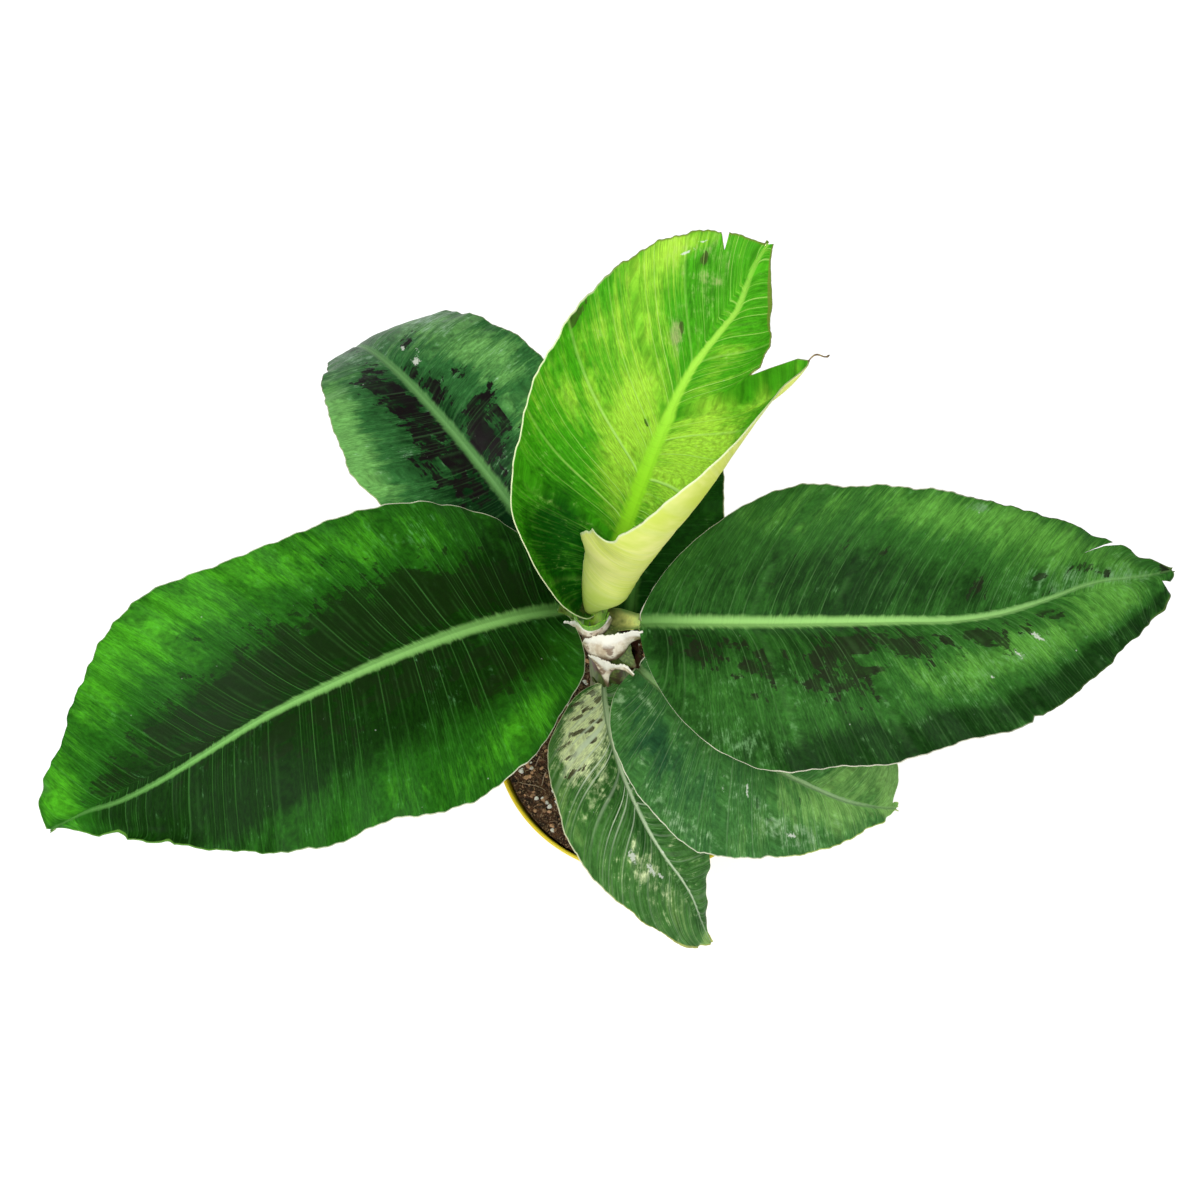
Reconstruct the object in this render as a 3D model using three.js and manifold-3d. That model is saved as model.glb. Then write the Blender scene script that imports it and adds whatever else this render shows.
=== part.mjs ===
import * as THREE from 'three';
import { mergeVertices } from 'three/addons/utils/BufferGeometryUtils.js';
import Module from 'manifold-3d';

// Young banana plant in a round pot. Millimetres, +Z up, origin at the centre of the pot's flat underside.

const wasm = await Module();
wasm.setup();

// ---- Driving dimensions ----

const gap = 0.35; // clearance left between touching pieces
const sliver = 0.05; // detail finer than this is left out

const pot = {
	height: 150,
	rimRadius: 82.5,
	footRadius: 50,
	wall: 3,
	floor: 4,
	footChamfer: 2,
	segments: 64
};

const soil = { top: 138 };

// The false stem leans off to one side and straightens as it rises.
const stem = {
	foot: soil.top + gap,
	top: 288,
	lean: new THREE.Vector2( -21, 6 ), // where the top stands, seen from above
	bend: 0.8, // below 1 it leans first and straightens above
	radii: [ 20, 16.5, 15, 14, 13, 12.4, 11, 6 ], // evenly spaced from foot to top
	sides: 20
};

// A blade's solid is thicker than the living leaf, so that it stays a sound body.
const blade = { thickness: 3, rows: 17, columns: 5, narrowest: 2, firstRows: 1.3 };
const rib = { sides: 8, petiole: 5.5, blade: 4.2, tip: 1.4, cover: 0.3, depth: 1.5 };

// Every leaf is a midrib that climbs and arches over, with a half blade on each side.
// base: where the petiole leaves the stem; foot: height on the stem's axis that it grows from
// heading, sway, swayPower: compass course of the midrib and how it turns, in degrees
// rise, dip, arch: slope at the base and at the tip in degrees, and how early it arches over
// roll: tilt of the blade about its midrib at base and tip, in degrees
// fold: angle of the blade beside the midrib; curl: further bend out to the margin, in degrees
// lean, sweep: how far the side veins run forward of square, as a share of their length
const commonLeaf = {
	swayPower: 1,
	arch: 1,
	roll: [ 0, 0 ],
	fold: [ 22, 8 ],
	lean: [ -0.2, 0.7 ],
	sweep: 0.1,
	curlPower: 1
};

const leaves = {

	leaf_new: {
		base: [ -26, 8, 282.5 ], foot: 280, heading: 66, sway: -25, swayPower: 0.6,
		rise: 75.5, dip: 45, arch: 1.3, roll: [ 7, 5.5 ], petiole: 9.5, length: 221,
		fold: [ 18, 10 ], lean: [ -0.36, 1.34 ], sweep: 0.2, curlPower: 2.3,
		left: { width: 65, widest: 0.23, baseRound: 1.2, tipTaper: 1.8, tipBlunt: 1.1, curl: [ 143, -5 ] },
		// the right half is still rolled up at its base, and torn along a vein near its end
		right: {
			stations: [ 0, 0.08, 0.18, 0.32, 0.48, 0.575, 0.6, 0.8, 1 ],
			width: [ 21, 40, 52, 73, 87, 78, 40, 26, 3 ],
			curl: [ 265, 270, 250, 170, 80, 70, 65, 38, 0 ],
			fold: [ -6, -9, -9, 1, 16, 4, 2, 3, 3 ],
			lean: [ 0, 0.08, 0.23, 0.08, 0.5, 1, 1.15, 0.8, 0.8 ]
		}
	},

	leaf_left: {
		base: [ -33, 15, 284 ], foot: 272, heading: 213, sway: -14, swayPower: 3.3,
		rise: 53, dip: -28, roll: [ -12, -7.5 ], petiole: 12, length: 278,
		lean: [ -0.1, 0.64 ], sweep: 0.115,
		left: { width: 74.5, widest: 0.3, baseRound: 1.7, tipTaper: 1.6, tipBlunt: 1.2, curl: [ -12, -41 ] },
		right: { width: 70, widest: 0.55, baseRound: 2.8, tipTaper: 1.16, tipBlunt: 0.68, curl: [ -12, -16 ] }
	},

	leaf_right: {
		base: [ -21, 14, 276.5 ], foot: 270, heading: -21, sway: 43, swayPower: 0.93,
		rise: 29, dip: -13.5, roll: [ 23, 6 ], petiole: 13, length: 270,
		lean: [ 0.02, 0.64 ], sweep: 0.14,
		left: { width: 66.5, widest: 0.24, baseRound: 1.65, tipTaper: 1.7, tipBlunt: 0.9, curl: [ -12, -25 ] },
		right: { width: 72, widest: 0.19, baseRound: 1.6, tipTaper: 1.7, tipBlunt: 0.9, curl: [ -12, -26 ] }
	},

	leaf_back_left: {
		base: [ -29, 16, 264 ], foot: 250, heading: 133.5, sway: -14, swayPower: 1.2,
		rise: 56.5, dip: -89.5, arch: 1.14, roll: [ 5, -1.5 ], petiole: 46, length: 252,
		lean: [ -0.24, 0.62 ], sweep: 0.07,
		left: { width: 56, widest: 0.28, baseRound: 2.1, tipTaper: 0.92, tipBlunt: 1.13, curl: [ -12, -44 ] },
		right: { width: 56, widest: 0.35, baseRound: 2.3, tipTaper: 1.64, tipBlunt: 0.83, curl: [ -12, -55 ] }
	},

	leaf_back: {
		base: [ -9, 11.5, 252.5 ], foot: 238, heading: 82, sway: 2,
		rise: 62, dip: -70, petiole: 46, length: 185,
		left: { width: 48, widest: 0.4, baseRound: 2, tipTaper: 1.5, tipBlunt: 0.8, curl: [ -12, -25 ] },
		right: { width: 39, widest: 0.35, baseRound: 3, tipTaper: 1.5, tipBlunt: 0.8, curl: [ -12, -25 ] }
	},

	leaf_front_right: {
		base: [ -9.5, 5, 246 ], foot: 240, heading: -45.5, sway: 54, swayPower: 2,
		rise: 22, dip: -38, roll: [ 4.5, 14 ], petiole: 9, length: 158.5,
		lean: [ -0.17, 0.73 ], sweep: 0.11,
		left: { width: 66, widest: 0.44, baseRound: 2, tipTaper: 2.4, tipBlunt: 0.98, curl: [ -12, -18.5 ] },
		right: { width: 58.5, widest: 0.34, baseRound: 2, tipTaper: 0.9, tipBlunt: 0.98, curl: [ -12, -30 ] }
	},

	leaf_front: {
		base: [ -21, 7, 234 ], foot: 226, heading: -94, sway: 48.5, swayPower: 0.7,
		rise: 12.8, dip: -59.5, arch: 1.08, roll: [ 6, -16 ], petiole: 12, length: 156,
		lean: [ -0.2, 0.62 ], sweep: 0.09,
		left: { width: 29.3, widest: 0.4, baseRound: 2, tipTaper: 1.44, tipBlunt: 1.05, curl: [ -12, -36 ] },
		right: { width: 44.7, widest: 0.33, baseRound: 1.54, tipTaper: 1.17, tipBlunt: 0.89, curl: [ -12, -23 ] }
	}

};

// Dry stubs of old leaf sheaths that wrap the front of the stem and flare off it at their ends.
// from, to: azimuths in degrees; low, high: heights of the lower edge and of the top at the middle
// rise: how much higher the ends stand; flare: how far the ends stand off the stem
const stubs = {
	sheath_stub_upper: { from: 182, to: 300, low: 279, high: 286, rise: 1, flare: 9 },
	sheath_stub_middle: { from: 192, to: 352, low: 264, high: 275, rise: 2, flare: 7 },
	sheath_stub_lower: { from: 206, to: 330, low: 246, high: 260, rise: 2, flare: 5 }
};
const stub = { thickness: 1.8, steps: 14, lipFlare: 3, endLift: 0.75 };

// ---- Helpers ----

const { lerp, clamp, degToRad } = THREE.MathUtils;

// Value at x of the smooth curve through the points ( xs, ys ).
function through( xs, ys, x ) {

	let i = 0;
	while ( i < xs.length - 2 && x > xs[ i + 1 ] ) i ++;
	const slope = ( k ) => {

		const a = Math.max( k - 1, 0 );
		const b = Math.min( k + 1, xs.length - 1 );
		return ( ys[ b ] - ys[ a ] ) / ( xs[ b ] - xs[ a ] );

	};

	const span = xs[ i + 1 ] - xs[ i ];
	const t = clamp( ( x - xs[ i ] ) / span, 0, 1 );
	const start = ( 1 + 2 * t ) * ( 1 - t ) * ( 1 - t ) * ys[ i ] + t * ( 1 - t ) * ( 1 - t ) * span * slope( i );
	const end = t * t * ( 3 - 2 * t ) * ys[ i + 1 ] + t * t * ( t - 1 ) * span * slope( i + 1 );
	return start + end;

}

// A closed body through rings of points. Each ring runs out along one side and back along the
// other, so its points pair up across it, and that is how the end rings are filled.
function loft( rings ) {

	const count = rings[ 0 ].length;
	const last = ( rings.length - 1 ) * count;
	const triangles = [];
	const quad = ( a, b, c, d ) => triangles.push( a, b, c, a, c, d );

	for ( let r = 0; r < rings.length - 1; r ++ ) {

		for ( let i = 0; i < count; i ++ ) {

			const next = ( i + 1 ) % count;
			quad( r * count + i, r * count + next, ( r + 1 ) * count + next, ( r + 1 ) * count + i );

		}

	}

	for ( let i = 0; i < count / 2 - 1; i ++ ) {

		const j = count - 1 - i;
		quad( i, j, j - 1, i + 1 );
		quad( last + i, last + i + 1, last + j - 1, last + j );

	}

	const vertices = rings.flat().flatMap( ( point ) => point.toArray() );
	return solidOf( vertices, triangles );

}

function solidOf( vertices, triangles ) {

	const solid = manifoldOf( vertices, triangles );
	return solid.volume() > 0 ? solid : manifoldOf( vertices, triangles.toReversed() );

}

function manifoldOf( vertices, triangles ) {

	return new wasm.Manifold( new wasm.Mesh( {
		numProp: 3,
		vertProperties: new Float32Array( vertices ),
		triVerts: new Uint32Array( triangles )
	} ) );

}

// The largest of a solid's separate pieces, so that a cut leaves no scraps.
function largest( solid ) {

	return solid.decompose().reduce( ( best, piece ) => ( piece.volume() > best.volume() ? piece : best ) );

}

function meshOf( name, solid, material ) {

	const data = solid.simplify( sliver ).getMesh();
	const geometry = new THREE.BufferGeometry();
	geometry.setAttribute( 'position', new THREE.BufferAttribute( new Float32Array( data.vertProperties ), 3 ) );
	geometry.setIndex( new THREE.BufferAttribute( new Uint32Array( data.triVerts ), 1 ) );
	geometry.computeVertexNormals();
	return named( name, geometry, material );

}

function named( name, geometry, material ) {

	const mesh = new THREE.Mesh( geometry, material );
	mesh.name = name;
	return mesh;

}

function paint( colour, roughness ) {

	return new THREE.MeshStandardMaterial( { color: colour, roughness, metalness: 0, side: THREE.DoubleSide } );

}

// ---- Pot and soil ----

function potMesh() {

	const inner = ( z ) => lerp( pot.footRadius, pot.rimRadius, z / pot.height ) - pot.wall;
	const profile = [
		new THREE.Vector2( 0, 0 ),
		new THREE.Vector2( pot.footRadius - pot.footChamfer, 0 ),
		new THREE.Vector2( pot.footRadius, pot.footChamfer ),
		new THREE.Vector2( pot.rimRadius, pot.height ),
		new THREE.Vector2( pot.rimRadius - pot.wall, pot.height ),
		new THREE.Vector2( inner( pot.floor ), pot.floor ),
		new THREE.Vector2( 0, pot.floor )
	];
	return turned( 'pot', profile, pot.segments, paint( 0xf2c40f, 0.35 ) );

}

function soilMesh() {

	const edge = ( z ) => lerp( pot.footRadius, pot.rimRadius, z / pot.height ) - pot.wall - gap;
	const bottom = pot.floor + gap;
	const profile = [
		new THREE.Vector2( 0, bottom ),
		new THREE.Vector2( edge( bottom ), bottom ),
		new THREE.Vector2( edge( soil.top ), soil.top ),
		new THREE.Vector2( 0, soil.top )
	];
	return turned( 'soil', profile, pot.segments, paint( 0x3f2a1c, 1 ) );

}

// A lathe turns about +Y. Its seam and poles are welded, so that the body is closed.
function turned( name, profile, segments, material ) {

	const lathe = new THREE.LatheGeometry( profile, segments ).rotateX( Math.PI / 2 );
	lathe.deleteAttribute( 'normal' );
	lathe.deleteAttribute( 'uv' );
	const welded = mergeVertices( lathe );
	const corners = welded.getIndex().array;
	const triangles = [];
	for ( let i = 0; i < corners.length; i += 3 ) {

		const [ a, b, c ] = corners.slice( i, i + 3 );
		if ( a !== b && b !== c && c !== a ) triangles.push( a, b, c );

	}

	return meshOf( name, solidOf( welded.getAttribute( 'position' ).array, triangles ), material );

}

// ---- Stem ----

function stemAxis( z ) {

	const share = clamp( ( z - stem.foot ) / ( stem.top - stem.foot ), 0, 1 ) ** stem.bend;
	return new THREE.Vector3( stem.lean.x * share, stem.lean.y * share, z );

}

function stemRadius( z ) {

	const places = stem.radii.map( ( _, i ) => i / ( stem.radii.length - 1 ) );
	return through( places, stem.radii, ( z - stem.foot ) / ( stem.top - stem.foot ) );

}

// extra swells the stem, to cut its neighbours clear of it
function stemSolid( extra = 0 ) {

	const rings = stem.radii.map( ( _, i ) => {

		const share = i / ( stem.radii.length - 1 );
		const z = lerp( stem.foot - extra, stem.top + extra, share );
		return Array.from( { length: stem.sides }, ( _, k ) => {

			const angle = 2 * Math.PI * ( k + 0.5 ) / stem.sides;
			const outward = new THREE.Vector3( Math.cos( angle ), Math.sin( angle ), 0 );
			return stemAxis( z ).addScaledVector( outward, stemRadius( z ) + extra );

		} );

	} );
	return loft( rings );

}

// ---- Leaves ----

// The midrib as a walk in short steps, each with its direction, its left side and its upper side.
function midrib( leaf ) {

	const steps = 100;
	const total = leaf.petiole + leaf.length;
	const from = -0.1;
	const to = 1.15;
	const stops = [];
	const place = new THREE.Vector3();
	for ( let i = 0; i <= steps; i ++ ) {

		const t = lerp( from, to, i / steps );
		const along = clamp( t, 0, 1 );
		const course = degToRad( leaf.heading + leaf.sway * along ** leaf.swayPower );
		const slope = degToRad( lerp( leaf.rise, leaf.dip, along ** leaf.arch ) );
		const tilt = degToRad( lerp( leaf.roll[ 0 ], leaf.roll[ 1 ], along ) );
		const ahead = new THREE.Vector3(
			Math.cos( slope ) * Math.cos( course ),
			Math.cos( slope ) * Math.sin( course ),
			Math.sin( slope )
		);
		const left = new THREE.Vector3( - Math.sin( course ), Math.cos( course ), 0 ).applyAxisAngle( ahead, tilt );
		const up = ahead.clone().cross( left );
		if ( i > 0 ) {

			const halfStep = total * ( to - from ) / steps / 2;
			place.addScaledVector( stops[ i - 1 ].ahead, halfStep );
			place.addScaledVector( ahead, halfStep );

		}

		stops.push( { place: place.clone(), ahead, left, up } );

	}

	const at = ( t ) => {

		const f = clamp( ( t - from ) / ( to - from ), 0, 1 ) * steps;
		const i = Math.min( Math.floor( f ), steps - 1 );
		const mix = ( key ) => stops[ i ][ key ].clone().lerp( stops[ i + 1 ][ key ], f - i );
		return { place: mix( 'place' ), ahead: mix( 'ahead' ), left: mix( 'left' ), up: mix( 'up' ) };

	};

	const shift = new THREE.Vector3( ...leaf.base ).sub( at( 0 ).place );
	stops.forEach( ( stop ) => stop.place.add( shift ) );
	return { at, total, start: leaf.petiole / total };

}

// Width, bend and lean of one half of a blade at s, from 0 at the petiole to 1 at the tip.
function halfAt( leaf, side, s ) {

	const half = leaf[ side ];
	if ( half.stations ) {

		const value = ( key ) => through( half.stations, half[ key ], s );
		return { width: value( 'width' ), fold: value( 'fold' ), curl: value( 'curl' ), lean: value( 'lean' ) };

	}

	const behind = clamp( 1 - s / half.widest, 0, 1 );
	const beyond = clamp( ( s - half.widest ) / ( 1 - half.widest ), 0, 1 );
	const rounded = ( 1 - behind ** half.baseRound ) ** ( 1 / half.baseRound );
	const tapered = ( 1 - beyond ** half.tipTaper ) ** half.tipBlunt;
	return {
		width: half.width * ( s < half.widest ? rounded : tapered ),
		fold: lerp( leaf.fold[ 0 ], leaf.fold[ 1 ], s ),
		curl: lerp( half.curl[ 1 ], half.curl[ 0 ], ( 1 - s ) ** leaf.curlPower ),
		lean: lerp( leaf.lean[ 0 ], leaf.lean[ 1 ], s ** 0.6 )
	};

}

// One half of a blade as a thick sheet: each ring follows a vein out on top and back underneath.
function halfBlade( leaf, side, extra ) {

	const line = midrib( leaf );
	const hand = side === 'left' ? 1 : -1;
	const lift = blade.thickness / 2 + extra;
	const rings = [];
	for ( let row = 0; row <= blade.rows; row ++ ) {

		const s = ( row / blade.rows ) ** blade.firstRows;
		const half = halfAt( leaf, side, s );
		const width = Math.max( half.width, blade.narrowest ) + extra;
		const top = [];
		const bottom = [];
		let out = 0;
		let high = 0;
		for ( let column = 0; column <= blade.columns; column ++ ) {

			const v = column / blade.columns;
			const step = column === 0 ? 0 : width / blade.columns;
			const bend = degToRad( half.fold + half.curl * Math.max( v - 0.5 / blade.columns, 0 ) );
			out += Math.cos( bend ) * step;
			high += Math.sin( bend ) * step;
			const forward = width * ( half.lean * v + leaf.sweep * v * v );
			const frame = line.at( line.start + s * ( 1 - line.start ) + forward / line.total );
			const point = frame.place.addScaledVector( frame.left, hand * out ).addScaledVector( frame.up, high );
			const normal = frame.up.clone().multiplyScalar( Math.cos( bend ) );
			normal.addScaledVector( frame.left, - hand * Math.sin( bend ) ).normalize();
			top.push( point.clone().addScaledVector( normal, lift ) );
			bottom.unshift( point.clone().addScaledVector( normal, - lift ) );

		}

		rings.push( [ ...top, ...bottom ] );

	}

	return loft( rings );

}

// The petiole and the midrib under the blade, from the stem's axis to the tip.
function ribSolid( leaf, extra ) {

	const line = midrib( leaf );
	const half = blade.thickness / 2;
	const stations = [ { t: 0, wide: rib.petiole }, { t: line.start * 0.6, wide: rib.petiole } ];
	for ( let row = 0; row <= blade.rows; row ++ ) {

		const s = row / blade.rows;
		stations.push( { t: lerp( line.start, 0.99, s ), wide: lerp( rib.blade, rib.tip, s ** 0.7 ) } );

	}

	const ringAt = ( frame, centre, wide ) => Array.from( { length: rib.sides }, ( _, k ) => {

		const angle = 2 * Math.PI * ( k + 0.5 ) / rib.sides;
		const across = Math.cos( angle ) * ( wide + extra );
		const top = half - rib.cover;
		const bottom = - half - rib.depth * wide / 2;
		const high = lerp( bottom - extra, top + extra, 0.5 + 0.5 * Math.sin( angle ) );
		return centre.clone().addScaledVector( frame.left, across ).addScaledVector( frame.up, high );

	} );

	const first = line.at( 0 );
	const rings = [ ringAt( first, stemAxis( leaf.foot ), rib.petiole ) ];
	stations.forEach( ( { t, wide } ) => {

		const frame = line.at( t );
		rings.push( ringAt( frame, frame.place, wide ) );

	} );
	return loft( rings );

}

function leafSolid( leaf, extra = 0 ) {

	return ribSolid( leaf, extra ).add( halfBlade( leaf, 'left', extra ) ).add( halfBlade( leaf, 'right', extra ) );

}

// ---- Sheath stubs ----

function stubSolid( { from, to, low, high, flare, rise } ) {

	const rings = [];
	for ( let i = 0; i <= stub.steps; i ++ ) {

		const u = 2 * i / stub.steps - 1;
		const azimuth = degToRad( lerp( from, to, ( u + 1 ) / 2 ) );
		const outward = new THREE.Vector3( Math.cos( azimuth ), Math.sin( azimuth ), 0 );
		const top = high + rise * u * u;
		const bottom = lerp( low, top, stub.endLift * u * u );
		const point = ( z, offset ) => {

			const reach = stemRadius( z ) + gap + flare * u * u + offset;
			return stemAxis( z ).addScaledVector( outward, reach );

		};

		rings.push( [
			point( bottom, 0 ),
			point( top, stub.lipFlare ),
			point( top, stub.lipFlare + stub.thickness ),
			point( bottom, stub.thickness )
		] );

	}

	return loft( rings );

}

// ---- The plant ----

const plant = new THREE.Group();

plant.add( potMesh() );
plant.add( soilMesh() );
plant.add( meshOf( 'pseudostem', stemSolid(), paint( 0x6f7d3a, 0.7 ) ) );

const leafColours = {
	leaf_new: 0x6fc32a,
	leaf_left: 0x2f7d1f,
	leaf_right: 0x2b5c20,
	leaf_back_left: 0x28602c,
	leaf_back: 0x1c5409,
	leaf_front_right: 0x5f9050,
	leaf_front: 0x3c7a32
};

// Each piece is cut clear of the swollen stem and of every leaf placed before it.
const clear = [ stemSolid( gap ) ];
for ( const [ name, sizes ] of Object.entries( leaves ) ) {

	const leaf = { ...commonLeaf, ...sizes };
	const solid = clear.reduce( ( body, other ) => body.subtract( other ), leafSolid( leaf ) );
	plant.add( meshOf( name, largest( solid ), paint( leafColours[ name ], 0.45 ) ) );
	clear.push( leafSolid( leaf, gap ) );

}

for ( const [ name, sizes ] of Object.entries( stubs ) ) {

	const solid = clear.reduce( ( body, other ) => body.subtract( other ), stubSolid( sizes ) );
	plant.add( meshOf( name, largest( solid ), paint( 0xd8cdb4, 0.9 ) ) );

}

export default plant;
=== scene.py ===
import math
import random

import bmesh
import bpy
import numpy as np
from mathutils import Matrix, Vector, noise


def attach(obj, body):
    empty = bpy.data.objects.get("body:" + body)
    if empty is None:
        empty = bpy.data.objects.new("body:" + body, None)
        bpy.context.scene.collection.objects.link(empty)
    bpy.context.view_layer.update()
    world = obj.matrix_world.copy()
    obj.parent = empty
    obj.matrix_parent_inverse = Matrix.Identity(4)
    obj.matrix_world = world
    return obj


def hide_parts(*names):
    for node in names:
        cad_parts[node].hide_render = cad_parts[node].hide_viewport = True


# A young banana plant in a round yellow pot. Shapes are worked out in millimetres and placed in metres.

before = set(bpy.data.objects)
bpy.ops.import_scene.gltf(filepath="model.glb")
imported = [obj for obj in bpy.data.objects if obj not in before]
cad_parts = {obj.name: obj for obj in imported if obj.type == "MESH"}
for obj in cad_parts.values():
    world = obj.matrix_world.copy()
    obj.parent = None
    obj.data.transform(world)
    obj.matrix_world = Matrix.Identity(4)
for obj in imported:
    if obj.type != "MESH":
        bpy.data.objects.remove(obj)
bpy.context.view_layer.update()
print("frame loaded with", len(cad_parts), "nodes")

mm = 0.001
random.seed(11)


# camera, floor and light

studio = {
    "eye": (-0.0231, -0.3105, 1.0275), "tilt": 24, "lens angle": 40,
    "floor size": 9, "floor colour": (0.5, 0.5, 0.5, 1), "floor glow": 0.78,
    "sky": (0.97, 0.99, 1.0, 1), "sky strength": 0.36,
    "overhead": {"at": (-0.3, -0.35, 1.55), "size": 0.9, "watts": 14},
    "front": {"at": (-0.1, -1.5, 0.75), "size": 1.2, "watts": 5},
}


def setUpStudio():
    bpy.ops.object.camera_add(location=studio["eye"], rotation=(math.radians(studio["tilt"]), 0, 0))
    camera = bpy.context.object
    camera.name = "view_camera"
    camera.data.sensor_fit = "HORIZONTAL"
    camera.data.angle = math.radians(studio["lens angle"])
    camera.data.clip_start = 0.01
    bpy.context.scene.camera = camera
    for name in ("overhead", "front"):
        lamp = studio[name]
        bpy.ops.object.light_add(type="AREA", location=lamp["at"])
        light = bpy.context.object
        light.name = name + "_softbox"
        light.data.size = lamp["size"]
        light.data.energy = lamp["watts"]
        aim = Vector((0, 0, 0.3)) - Vector(lamp["at"])
        light.rotation_euler = aim.to_track_quat("-Z", "Y").to_euler()
    world = bpy.data.worlds.new("white_room")
    world.use_nodes = True
    world.node_tree.nodes["Background"].inputs["Color"].default_value = studio["sky"]
    world.node_tree.nodes["Background"].inputs["Strength"].default_value = studio["sky strength"]
    bpy.context.scene.world = world
    bpy.context.scene.view_settings.view_transform = "Standard"
    bpy.ops.mesh.primitive_plane_add(size=studio["floor size"])
    floor = bpy.context.object
    floor.name = "studio_floor"
    paper = bpy.data.materials.new("floor_paper")
    paper.use_nodes = True
    shader = paper.node_tree.nodes["Principled BSDF"]
    shader.inputs["Base Color"].default_value = studio["floor colour"]
    shader.inputs["Roughness"].default_value = 0.9
    shader.inputs["Emission Color"].default_value = (1, 1, 1, 1)
    shader.inputs["Emission Strength"].default_value = studio["floor glow"]
    floor.data.materials.append(paper)
    print("studio ready")


setUpStudio()


# small sums

def mix(a, b, share):
    return a + (b - a) * share


def smooth(low, high, x):
    t = np.clip((x - low) / (high - low), 0, 1)
    return t * t * (3 - 2 * t)


def hump(x, middle, spread):
    return np.exp(-((x - middle) / spread) ** 2)


def through(xs, ys, x):
    # the smooth curve through a few points
    xs, ys = np.array(xs, float), np.array(ys, float)
    last = len(xs) - 1
    slope = np.array([(ys[min(k + 1, last)] - ys[max(k - 1, 0)]) / (xs[min(k + 1, last)] - xs[max(k - 1, 0)])
                      for k in range(last + 1)])
    i = np.clip(np.searchsorted(xs, x, side="left") - 1, 0, last - 1)
    span = xs[i + 1] - xs[i]
    t = np.clip((x - xs[i]) / span, 0, 1)
    begin = (1 + 2 * t) * (1 - t) ** 2 * ys[i] + t * (1 - t) ** 2 * span * slope[i]
    return begin + t * t * (3 - 2 * t) * ys[i + 1] + t * t * (t - 1) * span * slope[i + 1]


def grain(points, size, seed=0):
    # smooth noise from -1 to 1 at each point, with features of about the given size in mm
    return np.array([noise.noise(Vector(p) / size + Vector((seed, 3.7 * seed, 0))) for p in points])


# making and finishing pieces

def cornersOf(piece):
    flat = np.zeros(len(piece.data.vertices) * 3)
    piece.data.vertices.foreach_get("co", flat)
    return flat.reshape(-1, 3)


def carry(piece, points):
    piece.data.vertices.foreach_set("co", (np.asarray(points) * mm).ravel())
    piece.data.update()


def flatSheet(name, across, along):
    # a flat grid from -1 to 1 both ways, ready to be carried into shape
    bpy.ops.object.select_all(action="DESELECT")
    bpy.ops.mesh.primitive_grid_add(x_subdivisions=across, y_subdivisions=along, size=2)
    piece = bpy.context.object
    piece.name = piece.data.name = name
    return piece


def tube(name, around, along, shape):
    # a sheet rolled up into a closed body: shape(u, w) gives points, u once round and w from end to end
    piece = flatSheet(name, around, along)
    flat = (cornersOf(piece) + 1) / 2
    stamp(piece, "turn", flat[:, 0], flat[:, 1], 0)
    carry(piece, shape(flat[:, 0], flat[:, 1]))
    bpy.ops.object.mode_set(mode="EDIT")
    bpy.ops.mesh.select_all(action="SELECT")
    bpy.ops.mesh.remove_doubles(threshold=1e-6)
    bpy.ops.mesh.select_all(action="DESELECT")
    bpy.ops.mesh.select_non_manifold()
    bpy.ops.mesh.fill_holes(sides=0)
    bpy.ops.mesh.select_all(action="SELECT")
    bpy.ops.mesh.normals_make_consistent(inside=False)
    bpy.ops.object.mode_set(mode="OBJECT")
    bpy.ops.object.shade_smooth_by_angle(angle=math.radians(50))
    return piece


def stamp(piece, name, *channels):
    layer = piece.data.attributes.new(name, "FLOAT_COLOR", "POINT")
    count = len(piece.data.vertices)
    values = np.ones((count, 4))
    for k, channel in enumerate(channels):
        values[:, k] = channel
    layer.data.foreach_set("color", values.ravel())


def applyModifier(piece, kind, **settings):
    bpy.ops.object.select_all(action="DESELECT")
    piece.select_set(True)
    bpy.context.view_layer.objects.active = piece
    modifier = piece.modifiers.new(kind.lower(), kind)
    for key, value in settings.items():
        setattr(modifier, key, value)
    bpy.ops.object.modifier_apply(modifier=modifier.name)


def joined(pieces, name):
    bpy.ops.object.select_all(action="DESELECT")
    for piece in pieces:
        piece.select_set(True)
    bpy.context.view_layer.objects.active = pieces[0]
    bpy.ops.object.join()
    pieces[0].name = pieces[0].data.name = name
    return pieces[0]


def seat(piece, node):
    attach(piece, "root")
    if node:
        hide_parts(node)


# wiring finishes

def newFinish(name):
    material = bpy.data.materials.new(name)
    material.use_nodes = True
    tree = material.node_tree
    return material, tree, tree.nodes["Principled BSDF"]


def put(tree, kind, inputs=None, **settings):
    node = tree.nodes.new("ShaderNode" + kind)
    for key, value in settings.items():
        setattr(node, key, value)
    for key, value in (inputs or {}).items():
        if isinstance(value, bpy.types.NodeSocket):
            tree.links.new(value, node.inputs[key])
        else:
            node.inputs[key].default_value = value
    return node


def calc(tree, operation, a, b=0.0, c=0.0):
    return put(tree, "Math", {0: a, 1: b, 2: c}, operation=operation).outputs[0]


def step(tree, value, low, high, outLow=0.0, outHigh=1.0):
    inputs = {"Value": value, "From Min": low, "From Max": high, "To Min": outLow, "To Max": outHigh}
    return put(tree, "MapRange", inputs, interpolation_type="SMOOTHSTEP").outputs["Result"]


def shade(tree, share, a, b, way="MIX"):
    def colour(value):
        return value if isinstance(value, bpy.types.NodeSocket) else (*value, 1)
    node = put(tree, "Mix", {0: share, 6: colour(a), 7: colour(b)}, data_type="RGBA", blend_type=way)
    return node.outputs[2]


def noiseAt(tree, vector, scale, detail=3.0, rough=0.55):
    inputs = {"Vector": vector, "Scale": scale, "Detail": detail, "Roughness": rough}
    return put(tree, "TexNoise", inputs).outputs[0]


def bumpOf(tree, height, strength, distance=0.0006):
    return put(tree, "Bump", {"Height": height, "Strength": strength, "Distance": distance}).outputs[0]


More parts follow.
